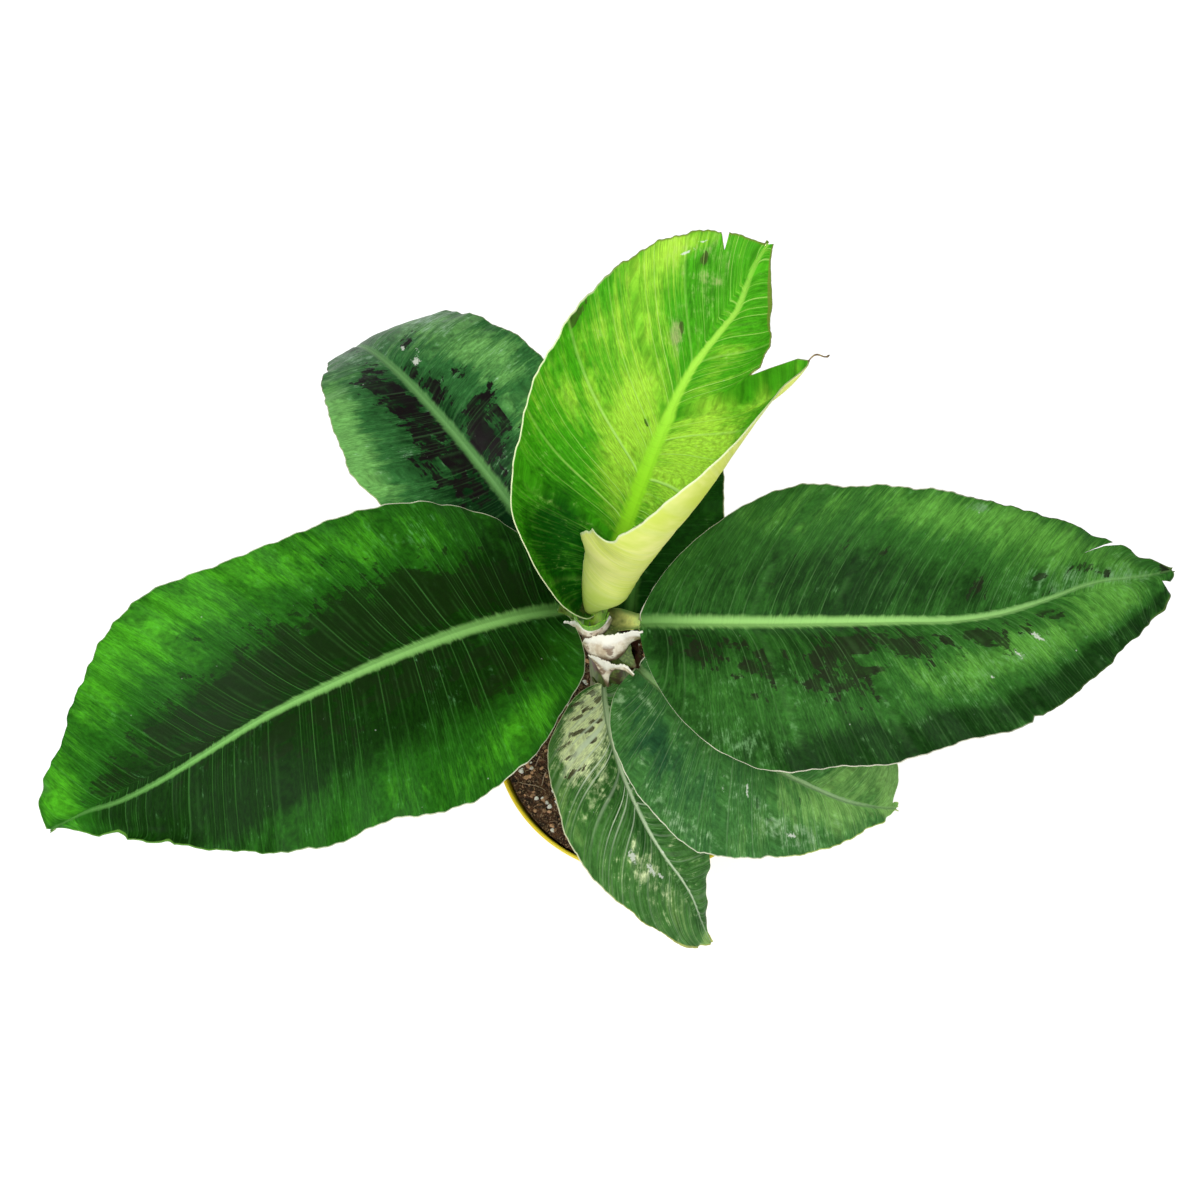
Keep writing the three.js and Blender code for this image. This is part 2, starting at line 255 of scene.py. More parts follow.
def times(tree, a, b):
    return calc(tree, "MULTIPLY", a, b)


def plus(tree, *terms):
    result = terms[0]
    for term in terms[1:]:
        result = calc(tree, "ADD", result, term)
    return result


def around(tree, value, amount):
    # noise about 0 instead of about 0.5
    return calc(tree, "MULTIPLY_ADD", value, amount, -0.5 * amount)


def spaceOf(tree):
    return put(tree, "TexCoord").outputs["Object"]


def axesOf(tree, vector):
    return put(tree, "SeparateXYZ", {0: vector}).outputs


def vectorOf(tree, x, y, z=0.0):
    return put(tree, "CombineXYZ", {0: x, 1: y, 2: z}).outputs[0]


def stamped(tree, name):
    # the three colour channels and the alpha that a piece carries under a name
    source = put(tree, "Attribute", attribute_name=name)
    return [*put(tree, "SeparateColor", {0: source.outputs["Color"]}).outputs, source.outputs["Alpha"]]


def drawnOut(tree, place, scale, detail, rough=0.55):
    # noise stretched along one way of the piece
    stretched = put(tree, "Mapping", {"Vector": place, "Scale": scale}).outputs[0]
    return noiseAt(tree, stretched, 1, detail, rough)


def randomOf(tree, value):
    return put(tree, "TexWhiteNoise", {"W": value}, noise_dimensions="1D").outputs["Value"]


def finished(made, colour, rough, normal=None, specular=None):
    # joins the last nodes to the shader, and puts plain numbers on its own sockets
    material, tree, shader = made
    tree.links.new(colour, shader.inputs["Base Color"])
    if isinstance(rough, bpy.types.NodeSocket):
        tree.links.new(rough, shader.inputs["Roughness"])
    else:
        shader.inputs["Roughness"].default_value = rough
    if normal:
        tree.links.new(normal, shader.inputs["Normal"])
    if specular:
        shader.inputs["Specular IOR Level"].default_value = specular
    return material


# stem

stem = {
    "foot": 138.35, "top": 288, "lean": (-21, 6), "bend": 0.8,
    "radii": [20, 16.5, 15, 14, 13, 11, 8.2, 5.5],
    "crown": 277,        # the wrapped core ends here, among the leaf bases
    "core shrink": 1.2,  # the core stands this far inside, and the sheaths make up the rest
}


def stemAxis(z):
    z = np.asarray(z, float)
    share = np.clip((z - stem["foot"]) / (stem["top"] - stem["foot"]), 0, 1) ** stem["bend"]
    return np.stack([stem["lean"][0] * share, stem["lean"][1] * share, z], -1)


def stemRadius(z):
    places = np.linspace(0, 1, len(stem["radii"]))
    share = (np.asarray(z, float) - stem["foot"]) / (stem["top"] - stem["foot"])
    return through(places, stem["radii"], share)


# leaves

commonLeaf = {
    "swayPower": 1, "arch": 1, "roll": (0, 0), "fold": (22, 8), "lean": (-0.2, 0.7), "sweep": 0.1,
    "curlPower": 1,
    "drift": ([0, 1], [0, 0]),                 # how the midrib wanders across the blade
    "rib": (3.2, 0.7), "groove": (1.5, 0.25),  # half width and depth at the base and at the tip
    "veins": 30, "veinBend": ((0.02, 0.02), (0.02, 0.02)),
    "undulation": 0.8, "ripples": ((0.9, 9, 0.4), (0.9, 8, 2.1)),
    "ragged": 0.006,
    "notches": [],  # (side, middle, spread, depth)
    "rolls": [],    # (side, middle, spread, where across it begins, degrees)
    "slits": [],    # (along, side, where across it begins, opening, slant)
    "bare": 0.001,  # where the blade begins
    "reach": {},    # fullness of its margins
    "tip": 0,       # how far the tip is drawn out
    "pushes": [],   # (side, push in mm, from, full, fading, gone along the blade)
    "pulls": [],    # (side, pull of the margin in mm, where, spread along the blade)
    "dark": [], "bright": [], "pale": [], "scratches": [], "veined": [], "plain veins": 0.5,
    "sheath": None, "thread": None,
}

# base, heading, rise and so on lay out the midrib; left and right give each half blade's outline and curl
# spots of dark, bright and pale: (along, across, spread along, spread across, strength); a few of them are
# painted shade or painted sheen, as noted at each leaf
leaves = {
    "leaf_new": {
        "base": (-26, 8, 282.5), "heading": 66, "sway": -25, "swayPower": 0.6, "rise": 75.5, "dip": 45,
        "arch": 1.3, "roll": (7, 5.5), "petiole": 9.5, "length": 221, "fold": (18, 10),
        "lean": (-0.36, 1.34), "sweep": 0.2, "curlPower": 2.3,
        "left": {"width": 65, "widest": 0.23, "baseRound": 1.2, "tipTaper": 1.8, "tipBlunt": 1.1, "curl":
            (143, -5)},
        "right": {"stations": [0, 0.08, 0.18, 0.32, 0.44, 0.48, 0.52, 0.56, 0.585, 0.6, 0.63, 0.8, 1],
            "width": [16, 37, 52, 73, 86, 84, 75.5, 66, 72.5, 42.6, 33, 26, 3], "curl": [265, 270, 250,
            170, 100, 83, 72, 68, 72, 66, 43, 38, 0], "fold": [-6, -9, -9, 1, 13, 14, 12, 6, 4, 4, 4, 3,
            3], "lean": [0, 0.08, 0.23, 0.08, 0.33, 0.48, 0.645, 0.89, 0.925, 1.13, 1.14, 0.8, 0.8]},
        "drift": ([0, 0.3, 0.6, 0.72, 0.8, 0.86, 1], [-0.04, -0.04, -0.03, -0.04, -0.14, -0.24, 0]),
        "rib": (3.9, 0.5), "groove": (1.0, 0.2), "veins": 30, "veinBend": ((0.02, -0.02), (0.02, 0.02)),
        "rows": 300, "columns": 36, "ripples": ((0.5, 7, 0.4), (0.3, 6, 2.1)),
        "reach": {"right": ([0, 0.2, 0.24, 0.29, 0.32, 0.34, 0.358, 0.38, 0.4, 0.43, 0.46, 0.6, 0.65, 0.7,
            0.75, 0.8, 0.9, 1], [1, 1, 1.01, 1.0, 1.01, 0.99, 0.95, 0.98, 0.965, 0.985, 1, 1, 1.06, 1.08,
            1, 0.86, 0.72, 0.6])},
        "pulls": [(-1, (3.6, 4.8, 5), 0.3, 0.05)],
        "pushes": [(-1, (4.5, 0, 0), 0.02, 0.13, 0.16, 0.38), (-1, (-1.5, 5, 0), -1, -0.5, 0, 0.14)],
        "notches": [(1, 0.862, 0.012, 0.19), (-1, 0.602, 0.012, 0.1)],
        "plain veins": 0.75,
        "veined": [(0.12, 0.5, 0.16, 0.5, -1.6), (0.45, 0.25, 0.16, 0.35, 0.7),
            (0.45, -0.3, 0.16, 0.35, 0.6), (0.85, 0.4, 0.1, 0.6, -0.5)],
        # the first dark spot, and the bright spots of negative strength at the base of the left half, are
        # painted shade in the hollow where the blade rolls round
        "dark": [(0.02, 0.5, 0.035, 0.3, 2), (0.72, 0.33, 0.01, 0.05, 1.2),
            (0.805, 0.74, 0.013, 0.055, 2.2), (0.54, 0.12, 0.006, 0.03, 1.8),
            (0.43, -0.3, 0.006, 0.03, 1.8), (0.47, -0.62, 0.006, 0.03, 1.6),
            (0.49, 0.97, 0.025, 0.04, 1.2)],
        "bright": [(0.5, 0.2, 0.14, 0.18, 0.9), (0.42, 0.75, 0.14, 0.3, 0.35),
            (0.75, 0.93, 0.1, 0.1, 0.8), (0.55, 0.45, 0.22, 0.4, 0.4), (0.66, 0.75, 0.1, 0.3, 0.5),
            (0.35, 0.1, 0.1, 0.15, 0.4), (0.52, -0.3, 0.2, 0.2, 0.3), (0.17, 0.22, 0.1, 0.2, -0.9),
            (0.2, 0.55, 0.13, 0.3, -1.2), (0.8, 0.35, 0.12, 0.35, -0.5), (0.45, -0.4, 0.15, 0.4, 0.95),
            (0.03, 0.55, 0.05, 0.4, -2), (0.57, -0.5, 0.2, 0.3, 0.25)],
        "pale": [(0.7, 0.33, 0.022, 0.1, 1.0), (0.82, 0.6, 0.06, 0.35, 0.4), (0.74, 0.9, 0.05, 0.1, 0.3)],
        "scratches": [(0.76, 0.85, 0.03, 0.012), (0.8, 0.9, 0.02, 0.01)],
        "thread": (-1, 0.583, 8.5),
    },
    "leaf_left": {
        "base": (-33, 15, 284), "heading": 213, "sway": -14, "swayPower": 3.3, "rise": 53, "dip": -28,
        "bare": 0.019, "roll": (-12, -7.5), "petiole": 12, "length": 278, "lean": (-0.1, 0.64),
        "sweep": 0.115,
        "left": {"width": 74.5, "widest": 0.3, "baseRound": 1.7, "tipTaper": 1.6, "tipBlunt": 1.2, "curl":
            (-12, -41)},
        "right": {"width": 70, "widest": 0.55, "baseRound": 2.8, "tipTaper": 1.16, "tipBlunt": 0.68,
            "curl": (-12, -16)},
        "drift": ([0, 0.5, 0.62, 0.72, 0.82, 0.88, 0.93, 1], [0.0, 0.02, 0.03, 0.1, 0.2, 0.22, 0.1, 0]),
        "pulls": [(1, (3.7, 2, -6), 0.05, 0.06)], "rib": (3.1, 0.45), "veins": 35,
        "veinBend": ((0.0, 0.03), (0.02, 0.01)), "rows": 290, "columns": 36,
        "ripples": ((1.3, 6, 0.4), (1.1, 10, 2.1)),
        "notches": [(1, 0.765, 0.022, 0.08), (1, 0.858, 0.03, 0.17)],
        "reach": {"left": ([0.15, 0.2, 0.25, 0.35, 0.4, 0.45, 0.5, 0.6, 0.7, 1], [1, 1.04, 1.03, 1.02,
            0.97, 0.995, 1.035, 1.035, 1, 1]), "right": ([0.1, 0.15, 0.25, 0.3, 0.35, 0.45, 0.55, 0.65,
            0.7, 0.8, 0.85, 0.9, 0.95, 1], [1, 1.03, 1.02, 0.995, 0.97, 0.965, 1.01, 1.02, 0.99, 0.95,
            0.91, 0.93, 1.04, 1.04])},
        "plain veins": 0.6,
        "veined": [(0.4, 0.3, 0.3, 0.3, 0.35), (0.35, -0.25, 0.2, 0.25, 0.3)],
        "rolls": [(1, 0.81, 0.1, 0.72, 120)],
        "dark": [(0.22, 0.36, 0.07, 0.2, 0.9), (0.36, 0.2, 0.12, 0.16, 0.8), (0.6, 0.25, 0.2, 0.25, 0.7),
            (0.12, -0.3, 0.07, 0.25, 1.1), (0.28, -0.3, 0.12, 0.28, 1.2), (0.48, -0.24, 0.16, 0.24, 1.1),
            (0.7, -0.2, 0.14, 0.22, 0.95), (0.86, -0.12, 0.06, 0.2, 0.6), (0.36, -0.72, 0.02, 0.05, 0.8),
            (0.58, -0.66, 0.02, 0.05, 0.6)],
        # the bright spot of negative strength at 0.08 along is painted shade near the crown, and the bright
        # spot at 0.25 along is a painted sheen
        "bright": [(0.6, -0.85, 0.26, 0.26, 1.0), (0.25, -0.7, 0.12, 0.2, 0.5),
            (0.93, -0.6, 0.08, 0.5, 0.8), (0.3, 0.85, 0.3, 0.25, 0.35), (0.08, -0.6, 0.1, 0.5, -0.9),
            (0.06, 0.3, 0.1, 0.5, -0.2), (0.55, 0.35, 0.4, 0.3, -1.1), (0.95, 0.3, 0.05, 0.8, 1.0),
            (0.72, 0.7, 0.16, 0.4, -1.4), (0.2, 0.75, 0.1, 0.2, 0.5)],
        # the pale spot at 0.26 along is a painted sheen near the right margin
        "pale": [(0.26, -0.72, 0.06, 0.1, 0.35), (0.33, 0.25, 0.03, 0.15, 0.25)],
        "sheath": {"from": 226, "half": (140, 62), "layer": 0.3},
    },
    "leaf_right": {
        "base": (-21, 14, 276.5), "heading": -21, "sway": 43, "swayPower": 0.93, "rise": 29, "dip": -13.5,
        "bare": 0.0275, "roll": (23, 6), "petiole": 13, "length": 270, "lean": (0.02, 0.64),
        "sweep": 0.14,
        "left": {"width": 66.5, "widest": 0.24, "baseRound": 1.65, "tipTaper": 1.7, "tipBlunt": 0.9,
            "curl": (-12, -25)},
        "right": {"width": 72, "widest": 0.19, "baseRound": 1.6, "tipTaper": 1.7, "tipBlunt": 0.9, "curl":
            (-12, -26)},
        "drift": ([0, 0.35, 0.5, 0.58, 0.66, 0.73, 0.78, 0.83, 0.88, 1], [0.03, 0.03, 0.0, -0.04, -0.05,
            -0.01, 0.05, 0.14, 0.18, 0.05]),
        "rib": (3.0, 0.4), "veins": 35, "veinBend": ((0.0, -0.05), (0.03, 0.03)), "rows": 290,
        "columns": 36, "ripples": ((0.8, 8, 1.4), (1.2, 11, 0.6)),
        "notches": [(1, 0.93, 0.02, 0.1), (-1, 0.965, 0.012, 0.55), (-1, 0.57, 0.012, 0.03)],
        "reach": {"left": ([0.15, 0.2, 0.3, 0.45, 0.6, 0.65, 0.75, 0.8, 0.9, 1], [1, 1.015, 1, 1.025,
            1.01, 1.015, 1.04, 1.05, 1.04, 1]), "right": ([0.2, 0.3, 0.35, 0.4, 0.45, 0.55, 0.65, 0.8,
            0.85, 0.9, 0.95, 1], [0.98, 0.975, 1, 0.98, 0.97, 1.02, 0.99, 0.96, 1, 1.09, 1.15, 1.2])},
        "tip": 4, "plain veins": 0.5,
        "veined": [(0.3, 0.3, 0.2, 0.3, 0.3), (0.7, 0.4, 0.15, 0.3, 0.3)],
        "slits": [(0.695, 1, 0.55, 0.014, 0.17)],
        "dark": [(0.985, 0.5, 0.012, 0.5, 1.6), (0.14, -0.2, 0.06, 0.13, 1.0),
            (0.24, -0.3, 0.04, 0.2, 0.85), (0.35, -0.36, 0.06, 0.22, 1.05), (0.42, -0.14, 0.06, 0.1, 1.1),
            (0.5, -0.24, 0.04, 0.14, 1.1), (0.61, -0.28, 0.045, 0.17, 1.2), (0.7, -0.25, 0.03, 0.12, 0.6),
            (0.75, -0.3, 0.03, 0.14, 0.8), (0.73, 0.3, 0.015, 0.07, 1.1), (0.76, 0.1, 0.018, 0.06, 0.9),
            (0.62, 0.22, 0.04, 0.15, 0.65), (0.83, 0.42, 0.05, 0.12, 0.7), (0.28, 0.4, 0.05, 0.12, 0.45),
            (0.4, 0.5, 0.06, 0.2, 0.5), (0.87, 0.3, 0.02, 0.1, 0.8)],
        "bright": [(0.6, 0.85, 0.18, 0.2, 0.9), (0.35, 0.85, 0.2, 0.2, 0.4), (0.72, 0.6, 0.12, 0.3, 0.6),
            (0.9, 0.1, 0.1, 0.6, 1.0), (0.72, -0.35, 0.14, 0.3, 0.75), (0.5, -0.4, 0.14, 0.25, 0.5),
            (0.4, 0.3, 0.2, 0.25, -0.6), (0.42, -0.9, 0.2, 0.15, -2.2), (0.78, -0.88, 0.16, 0.16, -2.0),
            (0.55, -0.9, 0.035, 0.2, 0.7), (0.08, -0.4, 0.06, 0.6, -0.5), (0.62, -0.5, 0.14, 0.22, 0.5),
            (0.82, 0.0, 0.1, 0.5, 0.4)],
        "pale": [(0.6, -0.5, 0.16, 0.2, 0.35), (0.8, 0.25, 0.12, 0.25, 0.5),
            (0.17, -0.8, 0.06, 0.15, 0.4), (0.3, -0.4, 0.1, 0.2, 0.2), (0.57, 0.95, 0.04, 0.06, 0.6),
            (0.94, 0.2, 0.06, 0.5, 0.4)],
        "scratches": [(0.565, -0.585, 0.012, 0.012), (0.64, -0.47, 0.004, 0.05),
            (0.69, -0.38, 0.006, 0.07)],
        "sheath": {"from": 222, "half": (140, 70), "layer": 0.6},
    },
    "leaf_back_left": {
        "base": (-29, 16, 264), "heading": 133.5, "sway": -14, "swayPower": 1.2, "rise": 56.5,
        "dip": -89.5, "arch": 1.14, "roll": (5, -1.5), "petiole": 46, "length": 252,
        "lean": (-0.24, 0.62), "sweep": 0.07,
        "left": {"width": 56, "widest": 0.28, "baseRound": 2.1, "tipTaper": 0.92, "tipBlunt": 1.13,
            "curl": (-12, -44)},
        "right": {"width": 57.5, "widest": 0.35, "baseRound": 2.3, "tipTaper": 1.64, "tipBlunt": 0.83,
            "curl": (-12, -52)},
        "rib": (2.9, 0.6), "veins": 30, "veinBend": ((0.0, -0.02), (0.02, 0.02)), "rows": 270,
        "columns": 32, "ripples": ((0.8, 7, 1.4), (0.8, 9, 0.6)),
        "reach": {"left": ([0.3, 0.35, 0.45, 0.5, 0.55, 0.6, 1], [1, 1.015, 1.03, 1.045, 1.07, 1, 1]),
            "right": ([0.1, 0.25, 0.3, 0.35, 0.4, 0.5, 1], [1, 1.06, 1.045, 1.005, 0.98, 0.97, 1])},
        "notches": [(1, 0.62, 0.02, 0.04)], "plain veins": 0.35,
        "dark": [(0.19, 0.25, 0.06, 0.3, 0.95), (0.27, 0.25, 0.04, 0.3, 0.7),
            (0.34, 0.2, 0.05, 0.25, 0.95), (0.42, 0.22, 0.06, 0.27, 1.05), (0.5, 0.4, 0.05, 0.25, 0.9),
            (0.24, -0.25, 0.06, 0.22, 1.0), (0.3, -0.35, 0.025, 0.25, 0.9),
            (0.39, -0.14, 0.04, 0.09, 1.0), (0.37, -0.42, 0.03, 0.07, 1.0),
            (0.47, -0.1, 0.025, 0.07, 1.1), (0.55, -0.33, 0.025, 0.12, 0.8), (0.56, 0.3, 0.03, 0.15, 0.5),
            (0.8, -0.5, 0.05, 0.3, 0.4), (0.7, 0.3, 0.06, 0.3, 0.4)],
        # the bright spot at 0.58 along and the pale spots past the middle of the blade, from 0.58 on, are
        # painted sheen
        "bright": [(0.36, 0.95, 0.18, 0.22, 1.5), (0.4, -0.65, 0.22, 0.3, 0.8),
            (0.1, 0.3, 0.1, 0.7, -0.8), (0.58, 0.0, 0.12, 0.8, 0.6)],
        "pale": [(0.58, -0.7, 0.14, 0.3, 0.6), (0.68, 0.5, 0.12, 0.5, 0.5), (0.28, 0.45, 0.02, 0.2, 0.25),
            (0.6, 0.0, 0.06, 0.3, 0.2)],
        "scratches": [(0.48, -0.2, 0.012, 0.05), (0.5, -0.28, 0.01, 0.02), (0.54, -0.22, 0.008, 0.03)],
        "sheath": {"from": 168, "half": (150, 55), "layer": 1.0},
    },
    "leaf_back": {
        "base": (-9, 11.5, 252.5), "heading": 82, "sway": 2, "rise": 62, "dip": -70, "petiole": 13,
        "length": 218,
        "left": {"width": 48, "widest": 0.49, "baseRound": 2.4, "tipTaper": 1.5, "tipBlunt": 0.8, "curl":
            (-12, -25)},
        "right": {"width": 39, "widest": 0.448, "baseRound": 3.6, "tipTaper": 1.5, "tipBlunt": 0.8,
            "curl": (-12, -25)},
        "rib": (2.6, 0.5), "veins": 24, "rows": 200, "columns": 28, "plain veins": 0.35,
        "reach": {"right": ([0.15, 0.2, 0.245, 0.285, 0.32, 0.395], [1, 1.1, 1.06, 1.02, 0.98, 1])},
        "dark": [(0.35, 0.3, 0.1, 0.3, 0.7), (0.6, -0.2, 0.1, 0.3, 0.6), (0.45, -0.5, 0.1, 0.2, 0.4)],
        "bright": [(0.5, -0.85, 0.2, 0.2, 0.6), (0.75, 0.3, 0.15, 0.4, 0.4)],
        "pale": [(0.6, 0.6, 0.15, 0.3, 0.3)],
        "sheath": {"from": 160, "half": (150, 55), "layer": 1.4},
    },
    "leaf_front_right": {
        "base": (-9.5, 5, 246), "heading": -45.5, "sway": 54, "swayPower": 2, "rise": 22, "dip": -38,
        "roll": (4.5, 14), "petiole": 9, "length": 158.5, "lean": (-0.17, 0.73), "sweep": 0.11,
        "left": {"width": 66, "widest": 0.44, "baseRound": 2, "tipTaper": 2.4, "tipBlunt": 0.98, "curl":
            (-12, -18.5)},
        "right": {"width": 58.5, "widest": 0.34, "baseRound": 2, "tipTaper": 0.9, "tipBlunt": 0.98,
            "curl": (-12, -30)},
        "drift": ([0, 0.5, 0.7, 0.85, 1], [-0.04, -0.04, -0.05, -0.1, 0]),
        "rib": (1.7, 0.7), "veins": 24, "rows": 220, "columns": 32,
        "ripples": ((0.5, 6, 1.4), (0.8, 9, 0.6)),
        "notches": [(1, 0.972, 0.02, 0.7), (-1, 0.5, 0.02, 0.03)],
        "tip": 3,
        "reach": {"left": ([0.8, 0.9, 0.94, 1], [1, 1, 1.1, 1.1]), "right": ([0.35, 0.45, 0.7, 0.75, 0.82,
            0.9, 1], [1, 1.015, 1.005, 1.02, 0.97, 1.04, 1.2])},
        "plain veins": 0.2,
        "veined": [(0.55, -0.75, 0.15, 0.2, 0.5), (0.15, -0.4, 0.12, 0.3, 0.4)],
        "dark": [(0.2, -0.6, 0.1, 0.25, 0.3), (0.5, -0.55, 0.05, 0.15, 0.45),
            (0.62, -0.35, 0.03, 0.1, 0.5)],
        "bright": [(0.965, 0.0, 0.035, 1.5, 2.4), (0.9, 0.6, 0.06, 0.4, 0.8),
            (0.2, -0.55, 0.12, 0.25, -0.7), (0.8, 0.0, 0.15, 0.9, 1.0), (0.6, -0.3, 0.15, 0.4, 0.6)],
        "pale": [(0.45, -0.4, 0.12, 0.2, 0.35), (0.6, -0.8, 0.12, 0.2, 0.45), (0.1, -0.3, 0.06, 0.1, 0.5),
            (0.3, -0.9, 0.1, 0.1, 0.4), (0.85, -0.5, 0.1, 0.4, 0.1), (0.05, -0.8, 0.05, 0.3, 0.3)],
        "scratches": [(0.58, -0.78, 0.02, 0.04), (0.39, -0.45, 0.003, 0.12), (0.46, -0.4, 0.003, 0.14)],
        "sheath": {"from": 152, "half": (150, 55), "layer": 1.9},
    },
    "leaf_front": {
        "base": (-21, 7, 234), "heading": -94, "sway": 48.5, "swayPower": 0.7, "rise": 12.8, "dip": -59.5,
        "arch": 1.08, "roll": (6, -16), "petiole": 12, "length": 156, "lean": (-0.2, 0.62), "sweep": 0.09,
        "left": {"width": 29.3, "widest": 0.4, "baseRound": 2, "tipTaper": 1.44, "tipBlunt": 1.05, "curl":
            (-12, -36)},
        "right": {"width": 44.7, "widest": 0.33, "baseRound": 1.54, "tipTaper": 1.17, "tipBlunt": 0.89,
            "curl": (-12, -23)},
        "drift": ([0, 0.5, 0.62, 0.72, 0.82, 1], [-0.05, -0.02, 0.05, 0.2, 0.3, 0.1]),
        "rib": (1.1, 0.25), "veins": 21, "veinBend": ((0.02, 0.02), (0.06, -0.1)), "rows": 220,
        "columns": 28, "ripples": ((0.5, 6, 1.4), (0.6, 8, 0.6)), "tip": 2.5,
        "reach": {"left": ([0.55, 0.65, 0.7, 0.75, 0.85, 1], [1, 1.14, 1.14, 1.11, 1.08, 1.1]), "right":
            ([0.1, 0.15, 0.2, 0.25, 0.3, 0.35, 0.4, 0.5, 0.6, 0.65, 0.75, 0.8, 0.85, 0.92, 1], [1, 1.07,
            1.02, 0.95, 0.92, 0.94, 0.97, 0.99, 0.965, 0.99, 0.98, 1.04, 1.11, 1.15, 1.2])},
        "plain veins": 0.12,
        "veined": [(0.3, -0.3, 0.14, 0.35, 1.3), (0.15, -0.4, 0.1, 0.3, 0.5)],
        "dark": [(0.09, -0.45, 0.008, 0.12, 1.5), (0.15, -0.5, 0.008, 0.2, 1.5),
            (0.2, -0.66, 0.008, 0.12, 1.5), (0.06, -0.25, 0.012, 0.2, 1.4),
            (0.13, -0.25, 0.008, 0.14, 1.5), (0.04, -0.5, 0.01, 0.2, 1.4), (0.11, -0.62, 0.006, 0.2, 1.4),
            (0.17, -0.78, 0.006, 0.16, 1.5), (0.07, -0.75, 0.007, 0.16, 1.4),
            (0.18, -0.35, 0.009, 0.1, 1.4), (0.24, -0.6, 0.009, 0.14, 1.4)],
        "bright": [(0.3, -0.85, 0.1, 0.15, 0.5), (0.98, 0, 0.035, 1.5, 2.2), (0.5, -0.15, 0.1, 0.1, -0.4),
            (0.8, -0.4, 0.14, 0.5, 0.6)],
        "pale": [(0.11, -0.4, 0.1, 0.4, 1.5), (0.2, -0.6, 0.07, 0.25, 0.8), (0.57, -0.4, 0.1, 0.2, 0.3),
            (0.75, -0.3, 0.15, 0.5, 0.35), (0.3, -0.3, 0.1, 0.3, 0.3)],
        "scratches": [(0.52, -0.42, 0.03, 0.05), (0.6, -0.3, 0.03, 0.05), (0.36, -0.52, 0.02, 0.02),
            (0.6, 0.05, 0.008, 0.03), (0.65, -0.22, 0.02, 0.03)],
        "sheath": {"from": 142, "half": (155, 55), "layer": 2.4},
    },
}


def midrib(leaf):
    # a walk in short steps: gives its length, where the blade starts, and its frame at any share
    steps = 100
    total = leaf["petiole"] + leaf["length"]
    share = np.linspace(-0.1, 1.15, steps + 1)
    along = np.clip(share, 0, 1)
    course = np.radians(leaf["heading"] + leaf["sway"] * along ** leaf["swayPower"])
    slope = np.radians(mix(leaf["rise"], leaf["dip"], along ** leaf["arch"]))
    tilt = np.radians(mix(leaf["roll"][0], leaf["roll"][1], along))[:, None]
    ahead = np.stack([np.cos(slope) * np.cos(course), np.cos(slope) * np.sin(course), np.sin(slope)], -1)
    level = np.stack([-np.sin(course), np.cos(course), 0 * course], -1)
    left = level * np.cos(tilt) + np.cross(ahead, level) * np.sin(tilt)
    up = np.cross(ahead, left)
    place = np.zeros((steps + 1, 3))
    place[1:] = np.cumsum((ahead[1:] + ahead[:-1]) / 2 * total * 1.25 / steps, 0)
    place += np.array(leaf["base"]) - [np.interp(0, share, place[:, k]) for k in range(3)]

    def at(t):
        return [np.stack([np.interp(t, share, rows[:, k]) for k in range(3)], -1)
                for rows in (place, ahead, left, up)]
    return total, leaf["petiole"] / total, at


def halfAt(leaf, side, s):
    half = leaf[side]
    if "stations" in half:
        return [through(half["stations"], half[key], s) for key in ("width", "fold", "curl", "lean")]
    bare = leaf["bare"]
    behind = np.clip(1 - (s - bare) / (half["widest"] - bare), 0, 1)
    beyond = np.clip((s - half["widest"]) / (1 - half["widest"]), 0, 1)
    rounded = (1 - behind ** half["baseRound"]) ** (1 / half["baseRound"])
    tapered = (1 - beyond ** half["tipTaper"]) ** half["tipBlunt"]
    width = half["width"] * np.where(s < half["widest"], rounded, tapered)
    fold = mix(leaf["fold"][0], leaf["fold"][1], s)
    curl = mix(half["curl"][1], half["curl"][0], (1 - s) ** leaf["curlPower"])
    return width, fold, curl, mix(leaf["lean"][0], leaf["lean"][1], s ** 0.6)


# how the blade's rows crowd at its ends, and its thickness and least half width in mm
bladeMesh = {"crowd across": 0.6, "crowd along": 0.7, "thick": 0.5, "narrowest": 0.8}
veinMap = {"mm": 240, "veins": 80}  # what the unit square of a blade's UV map spans, across and along


